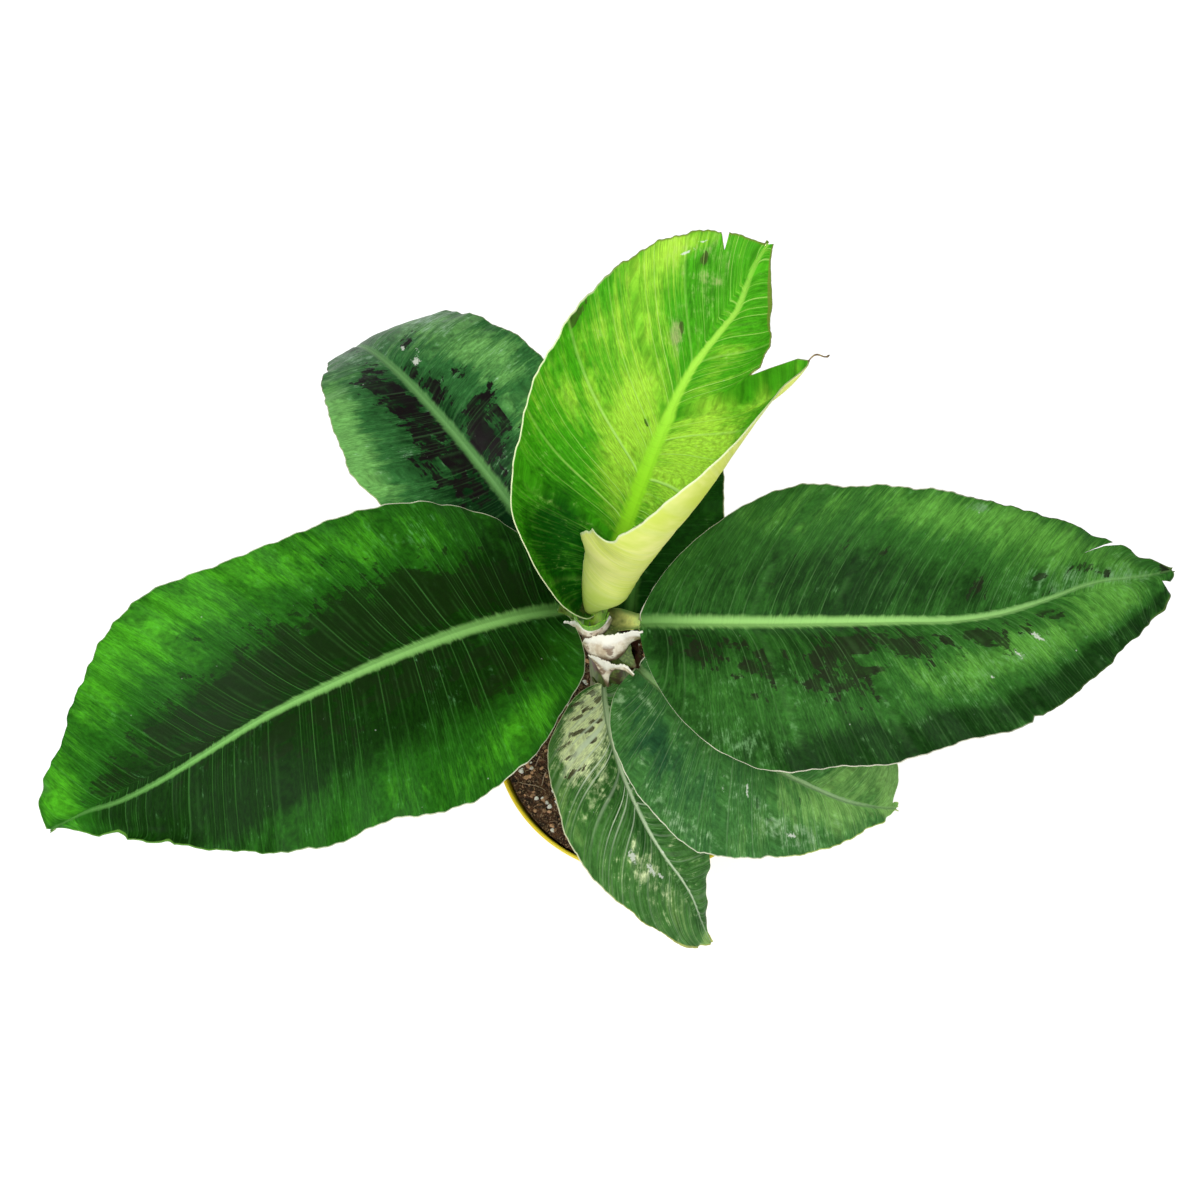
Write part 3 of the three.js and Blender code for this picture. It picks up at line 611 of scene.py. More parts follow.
def onBlade(leaf, v, s, lift=0):
    # the point of the blade at v across (1 left margin, -1 right margin) and s along, raised by lift
    total, start, at = midrib(leaf)
    leftHalf, rightHalf = halfAt(leaf, "left", s), halfAt(leaf, "right", s)
    width, fold, curl, lean = [np.where(v >= 0, a, b) for a, b in zip(leftHalf, rightHalf)]
    width = np.maximum(width, bladeMesh["narrowest"])
    hand, reach = np.where(v >= 0, 1, -1), abs(v)
    soft = 0.04 + 1.5 * abs(through(*leaf["drift"], s))
    parts = 36
    out, high = 0 * reach, 0 * reach
    for k in range(parts + 1):
        part = reach * min((k + 0.5) / parts, 1)
        bend = fold * np.minimum(part / soft, 1) + curl * part
        for side, middle, spread, first, turn in leaf["rolls"]:
            bend = bend + turn * smooth(first, 1, part) * hump(s, middle, spread) * (hand == side)
        bend = np.radians(bend)
        if k < parts:
            out = out + np.cos(bend) * reach * width / parts
            high = high + np.sin(bend) * reach * width / parts
    forward = width * (lean * reach + leaf["sweep"] * reach ** 2) + leaf["tip"] * smooth(0.86, 1, s)
    place, ahead, left, up = at(start + s * (1 - start) + forward / total)
    normal = up * np.cos(bend)[:, None] - left * (hand * np.sin(bend))[:, None]
    point = place + left * (hand * out)[:, None] + up * high[:, None]
    for side, push, begin, full, fading, gone in leaf["pushes"]:
        ease = np.sin(np.pi * np.minimum(reach, 1)) * smooth(begin, full, s) * (1 - smooth(fading, gone, s))
        point = point + np.array(push) * (ease * (hand == side))[:, None]
    for side, pull, middle, spread in leaf["pulls"]:
        point = point + np.array(pull) * (reach ** 3 * hump(s, middle, spread) * (hand == side))[:, None]
    return point + normal * np.asarray(lift)[..., None]


def spots(listed, v, s):
    total = 0 * s
    for along, across, spreadAlong, spreadAcross, strength in listed:
        total = total + strength * hump(s, along, spreadAlong) * hump(v, across, spreadAcross)
    return total


def openSlit(piece, row, side, first, opening):
    # tears the flat sheet along a row and pulls the two lips apart
    sheet = bmesh.new()
    sheet.from_mesh(piece.data)
    rows = sorted({round(v.co.y, 5) for v in sheet.verts})
    y = min(rows, key=lambda value: abs(value - row))
    torn = [e for e in sheet.edges if all(abs(v.co.y - y) < 1e-4 and v.co.x * side > first for v in e.verts)]
    bmesh.ops.split_edges(sheet, edges=torn)
    for v in sheet.verts:
        if v.co.x * side <= first or abs(v.co.y - y) > 0.08:
            continue
        away = v.co.y - y
        if abs(away) < 1e-4:
            away = sum(f.calc_center_median().y - y for f in v.link_faces) / max(len(v.link_faces), 1)
        ease = (1 - min(abs(v.co.y - y) / 0.08, 1)) ** 2
        v.co.y += math.copysign(opening * ease * (v.co.x * side - first) / (1 - first), away)
    sheet.to_mesh(piece.data)
    sheet.free()


def evenEnds(x, crowd):
    # spreads steps from 0 to 1 so that they are finer at both ends
    return x - crowd * np.sin(2 * np.pi * x) / (2 * np.pi)


def bladeSheet(name, leaf):
    seed = len(name) + leaf["veins"]
    blade = flatSheet(name + "_blade", 2 * leaf["columns"], leaf["rows"])
    for row, side, first, opening, _ in leaf["slits"]:
        openSlit(blade, 2 * row - 1, -side, first, opening)
    flat = cornersOf(blade)
    across = -np.sign(flat[:, 0]) * evenEnds(abs(flat[:, 0]), bladeMesh["crowd across"])
    s = evenEnds((flat[:, 1] + 1) / 2, bladeMesh["crowd along"])
    for row, side, first, _, slant in leaf["slits"]:
        middle = evenEnds(row, bladeMesh["crowd along"])
        s = s + slant * np.clip(side * across - first, 0, 1) * hump(s, middle, 0.1)
    s = np.clip(s, 0, 1)
    hand = np.where(across >= 0, 1, -1)

    # the margin: fine raggedness and a few notches
    wobble = np.sin(s * 61 + seed) + 0.7 * np.sin(s * 143 + 2 * seed) + 0.5 * np.sin(s * 307 + hand)
    margin = 1 - leaf["ragged"] * (1 + wobble * np.where(hand > 0, 1, -0.8))
    for side, middle, spread, depth in leaf["notches"]:
        margin = margin - depth * np.clip(1 - abs(s - middle) / spread, 0, 1) ** 0.8 * (hand == side)
    for side, key in ((1, "left"), (-1, "right")):
        if key in leaf["reach"]:
            margin = margin * np.where(hand == side, through(*leaf["reach"][key], s), 1)
    drift = through(*leaf["drift"], s)
    v = drift + (hand - drift) * abs(across) * margin

    # veins run out from the midrib; phase counts them along the blade
    bendOf = np.where((v >= 0)[:, None], leaf["veinBend"][0], leaf["veinBend"][1])
    patternS = s - bendOf[:, 0] * (1 - np.exp(-abs(v - drift) / 0.12)) + bendOf[:, 1] * (v - drift) ** 2
    phase = leaf["veins"] * patternS + 0.35 * np.sin(patternS * 37 + seed) + 0.2 * np.sin(patternS * 91) + 6
    toVein = abs(phase - np.round(phase))

    width = np.where(v >= 0, halfAt(leaf, "left", s)[0], halfAt(leaf, "right", s)[0])
    width = np.maximum(width, bladeMesh["narrowest"])
    offRib = (v - drift) * width
    ribHalf = mix(leaf["rib"][0], leaf["rib"][1], s ** 1.05)
    depth = mix(leaf["groove"][0], leaf["groove"][1], s ** 0.7)
    shoulders = hump(abs(offRib), 1.35 * ribHalf, 0.45 * ribHalf)
    lift = -depth * hump(offRib, 0, 0.7 * ribHalf) + 0.3 * depth * shoulders
    lift = lift + 0.3 * hump(toVein, 0, 0.13) * smooth(0.05, 0.15, abs(v)) * (1 - 0.6 * abs(v))
    for side, (height, count, turn) in zip((1, -1), leaf["ripples"]):
        wave = np.sin(2 * np.pi * count * s + turn) + 0.5 * np.sin(2 * np.pi * 2.3 * count * s + 3 * turn)
        lift = lift + height * wave * abs(v) ** 4 * (hand == side) * smooth(0, 0.15, s)
    lift = lift + leaf["undulation"] * np.sin(9 * s + 2.5 * v + seed) * np.sin(4 * v + 5 * s) * abs(v)
    # a blade that starts late hides its first rows in the petiole
    lift = lift - 5 * (1 - smooth(0.5, 1.05, s / leaf["bare"])) * (leaf["bare"] > 0.01)
    carry(blade, onBlade(leaf, v, s, lift))

    dark = np.clip(spots(leaf["dark"], v, s), 0, 2)
    bright = np.clip(spots(leaf["bright"], v, s), -1, 1.5)
    pale = np.clip(spots(leaf["pale"], v, s), 0, 1.2)
    marks = np.clip(spots([(*mark, 1.2) for mark in leaf["scratches"]], v, s), 0, 1.2)
    stamp(blade, "tone", dark, bright * 0.25 + 0.5, pale, marks)
    stamp(blade, "lines", np.clip(leaf["plain veins"] + spots(leaf["veined"], v, s), 0, 1.5) / 1.5, 0, 0)
    edge = (1 - abs(v) / margin) * width
    stamp(blade, "form", np.clip(abs(offRib) / ribHalf / 4, 0, 1), np.clip(edge / 6, 0, 1), s, abs(v))
    uv = blade.data.uv_layers[0]
    uv.name = "veins"
    corner = np.zeros(len(blade.data.loops), int)
    blade.data.loops.foreach_get("vertex_index", corner)
    flatUv = np.stack([0.5 + offRib / veinMap["mm"], phase / veinMap["veins"]], -1)[corner]
    uv.data.foreach_set("uv", flatUv.ravel())
    look = leafFinishes[name]
    for finish in (leafTop(name, look), leafUnder(name, look), leafEdge(name, look)):
        blade.data.materials.append(finish)
    sides = {"offset": -1, "material_offset": 1, "material_offset_rim": 2}
    applyModifier(blade, "SOLIDIFY", thickness=bladeMesh["thick"] * mm, **sides)
    bpy.ops.object.shade_smooth()
    return blade


def petioleAndRib(name, leaf):
    # one body: the leaf's sheath round the stem, the channelled petiole, and the midrib under the blade
    total, start, at = midrib(leaf)
    sheath = leaf["sheath"]
    steps = np.linspace(0, start, 40)
    place = at(steps)[0]
    heights = place[:, 2]
    away = np.hypot(*(place - stemAxis(heights))[:, :2].T)
    gapOut = away - stemRadius(np.minimum(heights, stem["top"]))
    clearOf = np.nonzero((gapOut > -1) | (heights > stem["crown"] + 3))[0]
    leavesAt = steps[clearOf[0]] if len(clearOf) else start * 0.9
    exitPoint = at(np.array([leavesAt]))[0][0]
    fromAxis = exitPoint - stemAxis(exitPoint[2])
    azimuth = math.atan2(fromAxis[1], fromAxis[0])
    wide = 5.6 if leaf["petiole"] > 10 else 5.0
    shares = {"sheath": 0.32, "turn": 0.14, "petiole": 0.14}
    if not sheath:
        shares = {"sheath": 0, "turn": 0, "petiole": 0.2}
        leavesAt = -0.05

    def channel(across, inner, t):
        # cross-section of the petiole and of the rib beneath the blade
        s = np.clip((t - start) / (1 - start), 0, 1)
        onBladeYet = smooth(-5 / total, 9 / total, t - start)
        place, ahead, left, up = at(t)
        drift = through(*leaf["drift"], s)
        centre = mix(place, onBlade(leaf, drift, s), onBladeYet[:, None])
        ribHalf = mix(leaf["rib"][0], leaf["rib"][1], s ** 1.05)
        half = mix(wide, 1.25 * ribHalf, onBladeYet)
        hollow = mix(3.0, 0.2, onBladeYet)
        thick = mix(4.2, mix(5.0, 0.7, s ** 0.8), onBladeYet)
        sunk = mix(0.0, 0.5 + mix(leaf["groove"][0], leaf["groove"][1], s ** 0.7), onBladeYet)
        rounding = np.sqrt(np.clip(1 - across ** 2, 0, 1))
        y = -hollow * (1 - across ** 2) - sunk * (1 - 0.6 * across ** 2)
        y = y + 1.2 * (1 - onBladeYet) * across ** 2
        y = y - np.where(inner, 0, (thick + 0.3 * np.abs(1 - across ** 2)) * rounding)
        return centre + left * (half * across)[:, None] + up * y[:, None]

    def aroundStem(across, inner, z, half):
        angle = azimuth + across * np.radians(half)
        radius = stemRadius(z) + sheath["layer"] - 0.9
        radius = radius + np.where(inner, -0.5, 1.6 * np.sqrt(np.clip(1 - across ** 2, 0, 1)) + 0.2)
        radius = radius + 0.25 * np.sin(7 * angle + z * 0.05) + 0.5 * across ** 6
        ridge = np.stack([np.cos(angle), np.sin(angle), 0 * angle], -1)
        return stemAxis(z) + ridge * radius[:, None]

    def shape(u, w):
        inner = u < 0.5
        across = np.where(inner, -1 + 4 * u, 3 - 4 * u)
        first, second, third = np.cumsum(list(shares.values()))
        t = np.where(w < third, mix(leavesAt, start, (w - second) / max(third - second, 1e-6)),
                     start + (1 - start) * 0.985 * np.clip((w - third) / (1 - third), 0, 1))
        points = channel(across, inner, np.maximum(t, leavesAt))
        if sheath:
            joinZ = exitPoint[2]
            turnZ = max(joinZ - 26, sheath["from"] + 14)
            z = np.where(w < first, mix(sheath["from"], turnZ, w / first),
                         mix(turnZ, joinZ, (w - first) / (second - first)))
            half = mix(sheath["half"][0], sheath["half"][1], np.clip(w / first, 0, 1) ** 1.3)
            half = half - (sheath["half"][1] - 26) * smooth(first, second, w)
            low = aroundStem(across, inner, np.minimum(z, stem["top"]), half)
            back = np.clip((w - first) / (second - first), 0, 1)
            early = channel(across, inner, leavesAt - (1 - back) * 9 / total)
            turned = mix(low, early, (smooth(0, 1, back))[:, None])
            points = np.where((w < second)[:, None], turned, points)
        return points

    return tube(name + "_rib", 36, 130, shape)


# colours of each leaf, how strong its veins and blotches are, and how much painted shade darkens it beside
# the midrib (shade; a negative value lightens it there)
leafFinishes = {
    "leaf_new": {
        "deep": (0.004, 0.075, 0.002), "green": (0.062, 0.36, 0.008), "light": (0.4, 0.72, 0.05),
        "blotch": (0.05, 0.07, 0.015), "pale": (0.33, 0.42, 0.14), "rib": (0.42, 0.9, 0.03),
        "vein": (0.5, 0.82, 0.17), "vein strength": 0.9, "blotches": 0.75, "shade": -0.15,
        "under": (1.0, 1.0, 0.36), "under deep": (0.74, 0.86, 0.12), "edge": (0.8, 0.88, 0.5),
        "stalk": (0.42, 0.62, 0.08), "rib sides": 0.12, "gloss": 0.42, "vein width": 0.07,
        "contrast": 0.25, "edge far": (0.16, 0.22, 0.03), "patchy": 0.45,
    },
    "leaf_left": {
        "deep": (0.004, 0.03, 0.001), "green": (0.015, 0.11, 0.005), "light": (0.06, 0.34, 0.01),
        "blotch": (0.007, 0.022, 0.003), "pale": (0.09, 0.24, 0.09), "rib": (0.27, 0.56, 0.15),
        "vein": (0.09, 0.33, 0.06), "vein strength": 0.42, "blotches": 0.75, "shade": 0.5,
        "under": (0.62, 0.68, 0.36), "under deep": (0.42, 0.5, 0.2), "edge": (0.8, 0.82, 0.6),
        "stalk": (0.4, 0.6, 0.1), "rib sides": 0.35, "gloss": 0.42, "vein width": 0.06, "contrast": 0.3,
        "edge far": (0.12, 0.3, 0.04), "patchy": 0.55,
    },
    "leaf_right": {
        "deep": (0.008, 0.042, 0.005), "green": (0.03, 0.138, 0.017), "light": (0.11, 0.35, 0.045),
        "blotch": (0.014, 0.02, 0.008), "pale": (0.14, 0.29, 0.12), "rib": (0.36, 0.68, 0.2),
        "vein": (0.15, 0.34, 0.11), "vein strength": 0.45, "blotches": 0.8, "shade": 0.35,
        "under": (0.19, 0.36, 0.13), "under deep": (0.11, 0.24, 0.08), "edge": (0.82, 0.8, 0.62),
        "stalk": (1.0, 1.0, 0.28), "rib sides": 0.4, "gloss": 0.44, "vein width": 0.06, "contrast": 0.4,
        "edge far": (0.1, 0.16, 0.04), "patchy": 0.6,
    },
    "leaf_back_left": {
        "deep": (0.003, 0.026, 0.005), "green": (0.03, 0.14, 0.032), "light": (0.16, 0.42, 0.1),
        "blotch": (0.008, 0.006, 0.006), "pale": (0.25, 0.4, 0.26), "rib": (0.14, 0.33, 0.1),
        "vein": (0.1, 0.28, 0.09), "vein strength": 0.4, "blotches": 0.93, "shade": 0.3,
        "under": (0.17, 0.33, 0.12), "under deep": (0.1, 0.22, 0.08), "edge": (0.5, 0.54, 0.3),
        "stalk": (0.3, 0.5, 0.1), "rib sides": 0.3, "gloss": 0.34, "vein width": 0.06, "contrast": 0.5,
        "edge far": (0.12, 0.1, 0.05), "patchy": 0.6,
    },
    "leaf_back": {
        "deep": (0.002, 0.022, 0.002), "green": (0.008, 0.07, 0.004), "light": (0.035, 0.17, 0.015),
        "blotch": (0.008, 0.012, 0.004), "pale": (0.1, 0.2, 0.08), "rib": (0.16, 0.42, 0.08),
        "vein": (0.09, 0.25, 0.07), "vein strength": 0.4, "blotches": 0.6, "shade": 0.3,
        "under": (0.17, 0.33, 0.12), "under deep": (0.1, 0.22, 0.08), "edge": (0.6, 0.62, 0.35),
        "stalk": (0.3, 0.5, 0.1), "rib sides": 0.4, "gloss": 0.42, "vein width": 0.06, "contrast": 0.4,
        "edge far": (0.3, 0.35, 0.15), "patchy": 0.5,
    },
    "leaf_front_right": {
        "deep": (0.016, 0.075, 0.028), "green": (0.055, 0.19, 0.04), "light": (0.22, 0.46, 0.11),
        "blotch": (0.01, 0.035, 0.014), "pale": (0.3, 0.45, 0.26), "rib": (0.36, 0.56, 0.24),
        "vein": (0.32, 0.46, 0.27), "vein strength": 0.75, "blotches": 0.5, "shade": 0.15,
        "under": (0.2, 0.36, 0.14), "under deep": (0.12, 0.24, 0.08), "edge": (0.8, 0.82, 0.62),
        "stalk": (0.3, 0.45, 0.12), "rib sides": 0.3, "gloss": 0.46, "vein width": 0.05, "contrast": 0.5,
        "edge far": (0.6, 0.7, 0.2), "patchy": 0.5,
    },
    "leaf_front": {
        "deep": (0.01, 0.06, 0.008), "green": (0.06, 0.19, 0.036), "light": (0.24, 0.43, 0.11),
        "blotch": (0.04, 0.026, 0.012), "pale": (0.7, 0.78, 0.44), "rib": (0.5, 0.62, 0.4),
        "vein": (0.68, 0.78, 0.58), "vein strength": 1.0, "blotches": 0.85, "shade": 0.3,
        "under": (0.2, 0.34, 0.13), "under deep": (0.12, 0.24, 0.08), "edge": (0.75, 0.76, 0.5),
        "stalk": (0.3, 0.42, 0.1), "rib sides": 0.2, "gloss": 0.42, "vein width": 0.15, "contrast": 0.6,
        "edge far": (0.5, 0.52, 0.15), "patchy": 0.7,
    },
}


def veinAxes(tree):
    # mm from the midrib, and a number that counts the veins
    axes = axesOf(tree, put(tree, "UVMap", uv_map="veins").outputs[0])
    out = times(tree, calc(tree, "SUBTRACT", axes[0], 0.5), veinMap["mm"])
    return out, times(tree, axes[1], veinMap["veins"])


def veinNoise(tree, axes, scales, detail, rough=0.55, extra=0.0):
    # noise whose grains lie along the veins
    grains = vectorOf(tree, times(tree, axes[0], scales[0]), times(tree, axes[1], scales[1]), extra)
    return noiseAt(tree, grains, 1, detail, rough)


def leafTop(name, look):
    made = newFinish(name + "_top")
    tree = made[1]
    out, phase = axes = veinAxes(tree)
    dark, bright, pale, scratched = stamped(tree, "tone")
    fromRib, fromEdge, along, across = stamped(tree, "form")
    lines = stamped(tree, "lines")[0]
    place = spaceOf(tree)

    # soft cloudiness, mottling, and fine brushing along the veins
    cloud = noiseAt(tree, place, 38, 4)
    mottle = noiseAt(tree, place, 190, 5, 0.62)
    brush = veinNoise(tree, axes, (0.06, 6.5), 3, 0.6)
    flecks = veinNoise(tree, axes, (0.3, 11), 4, 0.65)
    patches = veinNoise(tree, axes, (0.05, 1.5), 5, 0.6)
    patchy = look["patchy"]
    # the last term of level is painted shade beside the midrib, as strong as the look's shade
    level = plus(tree, calc(tree, "MULTIPLY_ADD", bright, 4, -2.0), around(tree, cloud, 1.2),
                 around(tree, patches, 2.0 * patchy), step(tree, patches, 0.5, 0.55, -0.3 * patchy, 0),
                 around(tree, mottle, 0.7 * patchy), around(tree, brush, 0.8), times(tree, dark, -0.5),
                 step(tree, across, 0.0, 0.6, -look["shade"], 0))
    colour = shade(tree, step(tree, level, -1.15, 0.1), look["deep"], look["green"])
    colour = shade(tree, step(tree, level, 0.0, 1.15), colour, look["light"])

    # bleached and dusty places, with painted sheen where the pale spots stand for it, and fine light and
    # dark texture
    bleachAndSheen = plus(tree, pale, calc(tree, "MULTIPLY_ADD", brush, 1.2, -0.75), around(tree, cloud, 0.7),
                  around(tree, mottle, 1.8), around(tree, flecks, 1.0))
    colour = shade(tree, step(tree, bleachAndSheen, 0.1, 0.9), colour, look["pale"])
    coarse = around(tree, mottle, 1.4 * look["contrast"])
    texture = plus(tree, step(tree, flecks, 0.3, 0.7, 0.68, 1.32), coarse)
    colour = shade(tree, 1.0, colour, vectorOf(tree, texture, texture, texture), "MULTIPLY")

    # dark blotches with ragged ends, cut into bars by the veins
    bar = randomOf(tree, calc(tree, "FLOOR", times(tree, phase, 3.1)))
    ragged = veinNoise(tree, axes, (0.15, 1.0), 5, 0.62, times(tree, bar, 1.1))
    blot = plus(tree, times(tree, dark, 0.8), around(tree, ragged, 3.1), around(tree, mottle, 0.9))
    blotted = times(tree, step(tree, blot, 0.5, 0.66), step(tree, dark, 0.08, 0.3))
    faded = calc(tree, "MULTIPLY_ADD", mottle, 1.0, look["blotches"] - 0.5)
    colour = shade(tree, times(tree, blotted, faded), colour, look["blotch"])

    # fine ribbing and the stronger pale veins
    fine = calc(tree, "PINGPONG", times(tree, phase, 4), 0.5)
    fineLine = times(tree, step(tree, fine, 0.0, 0.3, 1, 0), step(tree, patches, 0.4, 0.6))
    colour = shade(tree, times(tree, fineLine, 0.08), colour, look["vein"])
    toVein = calc(tree, "PINGPONG", phase, 0.5)
    whose = randomOf(tree, calc(tree, "ROUND", phase))
    fade = calc(tree, "SUBTRACT", 1.15, times(tree, calc(tree, "ABSOLUTE", out), 0.013))
    strong = times(tree, step(tree, whose, -0.3, 0.95), times(tree, step(tree, fromRib, 0.2, 0.36), fade))
    strong = times(tree, strong, times(tree, lines, 1.5))
    strong = times(tree, strong, step(tree, brush, 0.25, 0.5, 0.45, 1))
    line = times(tree, step(tree, toVein, look["vein width"] * 0.2, look["vein width"], 1, 0), strong)
    colour = shade(tree, times(tree, line, look["vein strength"]), colour, look["vein"])

    # the midrib's pale channel, feathered into the veins, with painted shade on its sides and a painted
    # shadow line along one side of its groove
    ribShare = times(tree, fromRib, 4)
    feather = plus(tree, ribShare, around(tree, brush, 0.7), around(tree, flecks, 0.5),
                   step(tree, toVein, 0.0, 0.25, -0.25, 0))
    ribMask = step(tree, feather, 0.65, 1.65, 1, 0)
    ribColour = shade(tree, step(tree, along, 0.35, 0.95, 0, 0.6), look["rib"], look["vein"])
    # painted shade: the rib's sides are darkened towards green as if rounded away from the light
    rounded = plus(tree, step(tree, ribShare, 0.1, 1.2, 0.0, look["rib sides"]), around(tree, brush, 0.5))
    ribColour = shade(tree, rounded, ribColour, look["green"])
    # painted shadow: a darker line in the groove on the right side of the rib, as strong as the look's rib
    # sides
    groove = times(tree, step(tree, ribShare, 0.2, 0.45), step(tree, ribShare, 0.6, 1.0, 1, 0))
    groove = times(tree, groove, step(tree, out, -0.6, -0.2, look["rib sides"] * 0.6, 0))
    ribColour = shade(tree, groove, ribColour, look["deep"])
    atBase = step(tree, along, 0.02, 0.2, look["rib sides"] * 1.3, 0)
    ribColour = shade(tree, atBase, ribColour, look["green"])
    colour = shade(tree, times(tree, ribMask, step(tree, along, 0.7, 1, 1, 0.35)), colour, ribColour)

    # specks, scratches and the thin pale margin
    speck = put(tree, "TexVoronoi", {"Vector": place, "Scale": 110, "Randomness": 1.0}).outputs["Distance"]
    few = noiseAt(tree, place, 60, 1)
    specks = times(tree, step(tree, speck, 0.02, 0.055, 1, 0), step(tree, few, 0.55, 0.62))
    scuff = plus(tree, scratched, around(tree, noiseAt(tree, place, 900, 3), 1.8), around(tree, mottle, 1.0))
    scuffs = step(tree, scuff, 0.5, 0.9)
    white = calc(tree, "MAXIMUM", times(tree, specks, 0.5), times(tree, scuffs, 0.8))
    colour = shade(tree, white, colour, (0.72, 0.76, 0.66))
    margin = shade(tree, step(tree, along, 0.45, 0.62), look["edge"], look["edge far"])
    colour = shade(tree, step(tree, fromEdge, 0.02, 0.1, 0.85, 0), colour, margin)

    rough = plus(tree, times(tree, cloud, 0.22), times(tree, white, 0.2), look["gloss"] - 0.08)
    height = plus(tree, times(tree, fineLine, 0.12), times(tree, brush, 0.35), times(tree, mottle, 0.7),
                  times(tree, line, 0.8))
    return finished(made, colour, rough, bumpOf(tree, height, 0.45), 0.05)


def leafUnder(name, look):
    # the paler underside, which turns to the stalk's colour near the base
    made = newFinish(name + "_under")
    tree = made[1]
    axes = veinAxes(tree)
    _, fromEdge, along, _ = stamped(tree, "form")
    cloud = noiseAt(tree, spaceOf(tree), 30, 4)
    brush = veinNoise(tree, axes, (0.07, 5), 2)
    level = plus(tree, times(tree, cloud, 0.8), times(tree, brush, 0.5))
    colour = shade(tree, step(tree, level, 0.4, 0.95), look["under deep"], look["under"])
    nearBase = step(tree, calc(tree, "MULTIPLY_ADD", cloud, 0.1, along), 0.1, 0.26, 0.7, 0)
    colour = shade(tree, nearBase, colour, look["stalk"])
    line = step(tree, calc(tree, "PINGPONG", axes[1], 0.5), 0.02, 0.16, 1, 0)
    colour = shade(tree, times(tree, line, 0.12), colour, look["edge"])
    colour = shade(tree, step(tree, fromEdge, 0.03, 0.2, 0.9, 0), colour, look["edge"])
    height = plus(tree, times(tree, line, 0.6), brush)
    rough = calc(tree, "MULTIPLY_ADD", cloud, 0.2, 0.42)
    return finished(made, colour, rough, bumpOf(tree, height, 0.4, 0.0005), 0.2)


def leafEdge(name, look):
    made = newFinish(name + "_margin")
    tree = made[1]
    dry = noiseAt(tree, spaceOf(tree), 90, 4)
    brown = tuple(mix(a, b, 0.75) for a, b in zip(look["edge"], (0.12, 0.05, 0.015)))
    along = stamped(tree, "form")[2]
    colour = shade(tree, step(tree, along, 0.45, 0.62), look["edge"], look["edge far"])
    colour = shade(tree, step(tree, dry, 0.6, 0.72), colour, brown)
    return finished(made, colour, 0.6, bumpOf(tree, dry, 0.3))


def ribFinish(name, look):
    # petiole and rib: fresh above, green with maroon clouds lower down, and brown at the foot of the sheath
    made = newFinish(name + "_stalk")
    tree = made[1]
    place = spaceOf(tree)
    cloud = noiseAt(tree, place, 45, 4)
    fibre = drawnOut(tree, place, (900, 900, 60), 3)
    fresh = shade(tree, step(tree, cloud, 0.45, 0.7), look["stalk"], look["rib"])
    # painted light on the channel: the middle stays bright as a painted highlight and the sides are painted
    # shade, darkened towards green
    side = calc(tree, "ABSOLUTE", calc(tree, "SUBTRACT", stamped(tree, "turn")[0], 0.25))
    shadedSides = step(tree, calc(tree, "MULTIPLY_ADD", cloud, 0.1, side), 0.14, 0.28, 0, 0.8)
    fresh = shade(tree, shadedSides, fresh, look["green"])
    fresh = shade(tree, step(tree, fibre, 0.4, 0.75, 0, 0.25), fresh, look["under deep"])
    stains = step(tree, noiseAt(tree, place, 120, 4), 0.56, 0.7, 0, 0.75)
    fresh = shade(tree, stains, fresh, (0.06, 0.035, 0.012))
    old = shade(tree, step(tree, fibre, 0.3, 0.7), (0.05, 0.022, 0.012), (0.2, 0.15, 0.05))
    low = plus(tree, axesOf(tree, place)[2], around(tree, cloud, 0.09))
    green = shade(tree, step(tree, fibre, 0.35, 0.7), (0.05, 0.09, 0.015), (0.13, 0.2, 0.04))
    green = shade(tree, step(tree, cloud, 0.44, 0.56), green, (0.09, 0.032, 0.02))
    colour = shade(tree, step(tree, low, 0.17, 0.25), old, green)
    colour = shade(tree, step(tree, low, 0.266, 0.288), colour, fresh)
    rough = calc(tree, "MULTIPLY_ADD", fibre, 0.25, 0.38)
    return finished(made, colour, rough, bumpOf(tree, fibre, 0.5, 0.0007))


def threadFinish():
    made = newFinish("dry_thread")
    tree = made[1]
    dry = noiseAt(tree, spaceOf(tree), 700, 3)
    colour = shade(tree, step(tree, dry, 0.35, 0.65), (0.1, 0.055, 0.02), (0.3, 0.22, 0.08))
    return finished(made, colour, 0.7)


def filament(name, leaf):
    # the dry thread that trails from the corner of a tear
    side, s, length = leaf["thread"]
    start = onBlade(leaf, np.array([side * 0.985]), np.array([s]))[0]

    def shape(u, w):
        angle = 2 * np.pi * u
        radius = 0.45 * (1 - 0.5 * w) + 0.25 * smooth(0.8, 0.9, w) * smooth(1, 0.95, w)
        path = [length * w, 0.45 * length * w + 0.9 * np.sin(6 * w), 1.5 * np.sin(4 * w)]
        line = start + np.stack(path, -1)
        return line + np.stack([0 * u, np.cos(angle), np.sin(angle)], -1) * radius[:, None]
    return tube(name + "_thread", 8, 16, shape)


def growLeaf(name):
    leaf = {**commonLeaf, **leaves[name]}
    pieces = [bladeSheet(name, leaf), petioleAndRib(name, leaf)]
    pieces[1].data.materials.append(ribFinish(name, leafFinishes[name]))
    if leaf["thread"]:
        pieces.append(filament(name, leaf))
        pieces[2].data.materials.append(threadFinish())
    whole = joined(pieces, name + "_grown")
    seat(whole, name)
    print("grown:", name, len(whole.data.polygons), "faces")


for leafName in leaves:
    growLeaf(leafName)


# false stem

